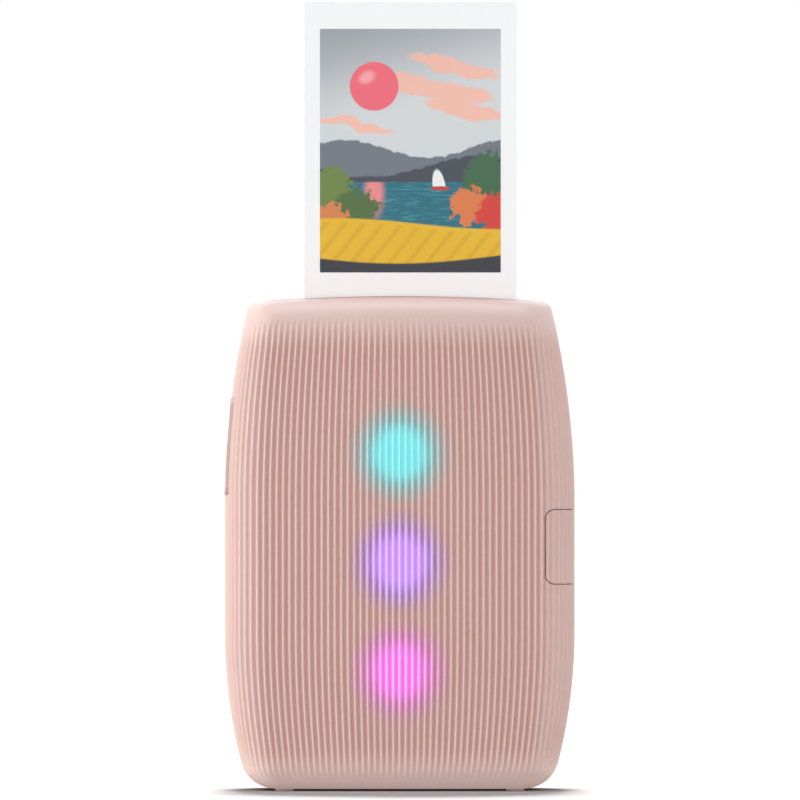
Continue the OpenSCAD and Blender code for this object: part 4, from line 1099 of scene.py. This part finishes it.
def paint_lake(p):
    """Teal water with ripples, the sun's reflection, and a boat with a white sail."""
    g = p.g
    water = p.below(WATER_V)
    p.lay(water, srgb(16, 104, 122))
    flat = g.node("ShaderNodeCombineXYZ", X=g.math("MULTIPLY", p.u, 9.0), Y=g.math("MULTIPLY", p.v, 90.0))
    ripple = g.noise(scale=1.0, detail=4.0, vector=flat.outputs[0], roughness=0.5)
    ripple = p.both(g.step(ripple, 0.52, 0.66), 0.6)
    p.lay(p.both(water, ripple), srgb(70, 160, 172))
    p.lay(p.both(water, p.oval(SUN_U, 0.44, 0.05, 0.12, soft=0.5)), srgb(236, 140, 140))
    sail = p.oval(0.66, 0.47, 0.035, 0.1, soft=0.1, lean=0.15)
    p.lay(p.both(sail, g.inverse(p.below(0.475))), srgb(240, 241, 240))
    p.lay(p.oval(0.665, 0.465, 0.055, 0.012, soft=0.2), srgb(190, 60, 50))


def paint_shore(p):
    """Bushes in autumn tones, a yellow meadow with rows, and a dark bank in front."""
    g = p.g
    leaf = g.spread(g.noise(scale=700.0, detail=5.0), width=0.16)
    for u, v, ru, rv, tone in BUSHES:
        p.lay(p.oval(g.math("ADD", leaf, u), g.math("ADD", leaf, v), ru, rv, soft=0.12), tone)
    p.lay(p.below(p.wave(height=0.27, size=0.03, rate=3.6, phase=1.2)), srgb(232, 184, 28))
    across = g.math("SUBTRACT", p.u, g.math("MULTIPLY", p.v, 0.8))
    rows = g.step(g.math("SINE", g.math("MULTIPLY", across, 60.0)), 0.2, 0.9)
    field = p.below(p.wave(height=0.25, size=0.03, rate=3.6, phase=1.2))
    p.lay(p.both(field, p.both(rows, 0.35)), srgb(196, 142, 16))
    p.lay(p.below(p.wave(height=0.1, size=0.05, rate=2.6, phase=3.6)), srgb(38, 42, 52))


def picture_material():
    """A made-up lake view at dusk, painted from the sky down."""
    p = Painter("picture", srgb(214, 216, 217))
    paint_sky(p)
    paint_hills(p)
    paint_lake(p)
    paint_shore(p)
    p.g.set("Base Color", p.color)
    p.g.set("Coat Weight", 0.3)
    return p.g.material


def print_layer(name, inset, front, back):
    """One layer of the sheet, in from its edges by inset."""
    x0, x1 = print_lo.x + inset, print_hi.x - inset
    z0, z1 = print_lo.z + inset, print_hi.z - inset
    return prism(name, rounded(x0, x1, z0, z1, CARD_R, steps=3), front, back)


def print_card():
    """White-bordered card with its picture, and the dark back of an instant film."""
    join = print_y + (print_hi.y - print_lo.y) / 2 * BACK_FROM
    card = print_layer("print_card", 0.0, print_lo.y, join)
    finish_piece(card, "print", "film", PAPER, "film_print", bevel=0.08 * MM)
    back = print_layer("print_back", BACK_INSET, join, print_hi.y)
    finish_piece(back, "print", "pack_plastic", PACK, bevel=0.06 * MM)
    outline = rounded(picture_x0, picture_x0 + PICTURE_W, picture_z0, picture_z1, PICTURE_R, steps=2)
    picture = prism("print_picture", outline, print_lo.y - PICTURE_RISE, print_lo.y + PICTURE_DEEP)
    finish_piece(picture, "print", "film", picture_material(), bevel=0.02 * MM)


print_card()

# ---------------------------------------------------------------- floor, backdrop and light


def seen_white(tree, shown, plain):
    """The shown shader for camera, glossy and transmission rays, and the plain one for the rest."""
    path = tree.nodes.new("ShaderNodeLightPath")
    seen = path.outputs["Is Camera Ray"]
    for name in ("Is Glossy Ray", "Is Transmission Ray"):
        most = tree.nodes.new("ShaderNodeMath")
        most.operation = "MAXIMUM"
        tree.links.new(seen, most.inputs[0])
        tree.links.new(path.outputs[name], most.inputs[1])
        seen = most.outputs[0]
    mix = tree.nodes.new("ShaderNodeMixShader")
    tree.links.new(seen, mix.inputs[0])
    tree.links.new(plain, mix.inputs[1])
    tree.links.new(shown, mix.inputs[2])
    return mix.outputs[0]


AMBIENT = 0.34
FLOOR_WHITE = 0.95
FLOOR_BOUNCE = 0.72
CONTACT = 14 * MM
FLOOR_HALF = 12.0
COOL = (0.74, 0.9, 1.03)


def world():
    """Even light from all round, and a white backdrop where it is seen."""
    w = bpy.data.worlds.new("studio")
    bpy.context.scene.world = w
    w.use_nodes = True
    tree = w.node_tree
    plain = tree.nodes["Background"]
    plain.inputs["Color"].default_value = (1, 1, 1, 1)
    plain.inputs["Strength"].default_value = AMBIENT
    white = tree.nodes.new("ShaderNodeBackground")
    white.inputs["Color"].default_value = (1, 1, 1, 1)
    white.inputs["Strength"].default_value = 1.0
    out = tree.nodes["World Output"]
    tree.links.new(seen_white(tree, white.outputs[0], plain.outputs[0]), out.inputs["Surface"])


def floor():
    """White floor that keeps the object's cast shadow, with painted contact shade near it; to rays other
    than camera, glossy and transmission ones it glows evenly, a painted bounce light dimmer than it
    shows.
    Gives the light groups for lamps that light only the floor, and all but the floor."""
    material = bpy.data.materials.new("floor_white")
    material.use_nodes = True
    tree = material.node_tree
    shader = tree.nodes["Principled BSDF"]
    shader.inputs["Roughness"].default_value = 0.9
    shader.inputs["Specular IOR Level"].default_value = 0.0
    # Painted contact shade: occlusion darkens the floor's colour near the object
    near = tree.nodes.new("ShaderNodeAmbientOcclusion")
    near.inputs["Color"].default_value = (FLOOR_WHITE,) * 3 + (1,)
    near.inputs["Distance"].default_value = CONTACT
    near.samples = 16
    tree.links.new(near.outputs["Color"], shader.inputs["Base Color"])
    # Painted bounce light: an even glow from the floor in place of its reflection
    bounce_glow = tree.nodes.new("ShaderNodeEmission")
    bounce_glow.inputs["Strength"].default_value = FLOOR_BOUNCE
    out = tree.nodes["Material Output"]
    tree.links.new(seen_white(tree, shader.outputs[0], bounce_glow.outputs[0]), out.inputs["Surface"])

    def build(bm):
        bmesh.ops.create_grid(bm, x_segments=1, y_segments=1, size=FLOOR_HALF)

    obj = solid("studio_floor", build)
    obj.data.materials.append(material)
    groups = []
    for state in ("INCLUDE", "EXCLUDE"):
        group = bpy.data.collections.new("floor_" + state.lower())
        group.objects.link(obj)
        group.collection_objects[0].light_linking.link_state = state
        groups.append(group)
    return groups


def sun(name, receivers, azimuth, elevation, level, spread, color=(1, 1, 1), shine=True):
    """Soft light from far away. Azimuth 0 is ahead of the face and 90 at its right; a white
    surface that faces the light shows its level. Without shine it leaves no highlights."""
    a, e = math.radians(azimuth), math.radians(elevation)
    data = bpy.data.lights.new(name, "SUN")
    data.energy = math.pi * level
    data.angle = math.radians(spread)
    data.color = color
    obj = bpy.data.objects.new(name, data)
    bpy.context.scene.collection.objects.link(obj)
    towards = Vector((math.sin(a) * math.cos(e), -math.cos(a) * math.cos(e), math.sin(e)))
    obj.location = towards
    obj.rotation_euler = towards.to_track_quat("Z", "Y").to_euler()
    obj.light_linking.receiver_collection = receivers
    obj.visible_glossy = shine


world()
ON_FLOOR, OFF_FLOOR = floor()
sun("left_strip", OFF_FLOOR, azimuth=-83, elevation=10, level=0.8, spread=25, shine=False)
sun("right_strip", OFF_FLOOR, azimuth=86, elevation=10, level=0.38, spread=25, shine=False)
sun("front", OFF_FLOOR, azimuth=-30, elevation=20, level=0.25, spread=50, shine=False)
sun("top", OFF_FLOOR, azimuth=0, elevation=72, level=0.38, spread=40, color=COOL)
sun("back_left", OFF_FLOOR, azimuth=-162, elevation=42, level=0.22, spread=40, color=COOL)
sun("back_right", OFF_FLOOR, azimuth=162, elevation=42, level=0.22, spread=40, color=COOL)
sun("floor_light", ON_FLOOR, azimuth=180, elevation=66, level=0.98, spread=14)
bpy.context.scene.view_settings.view_transform = "Standard"
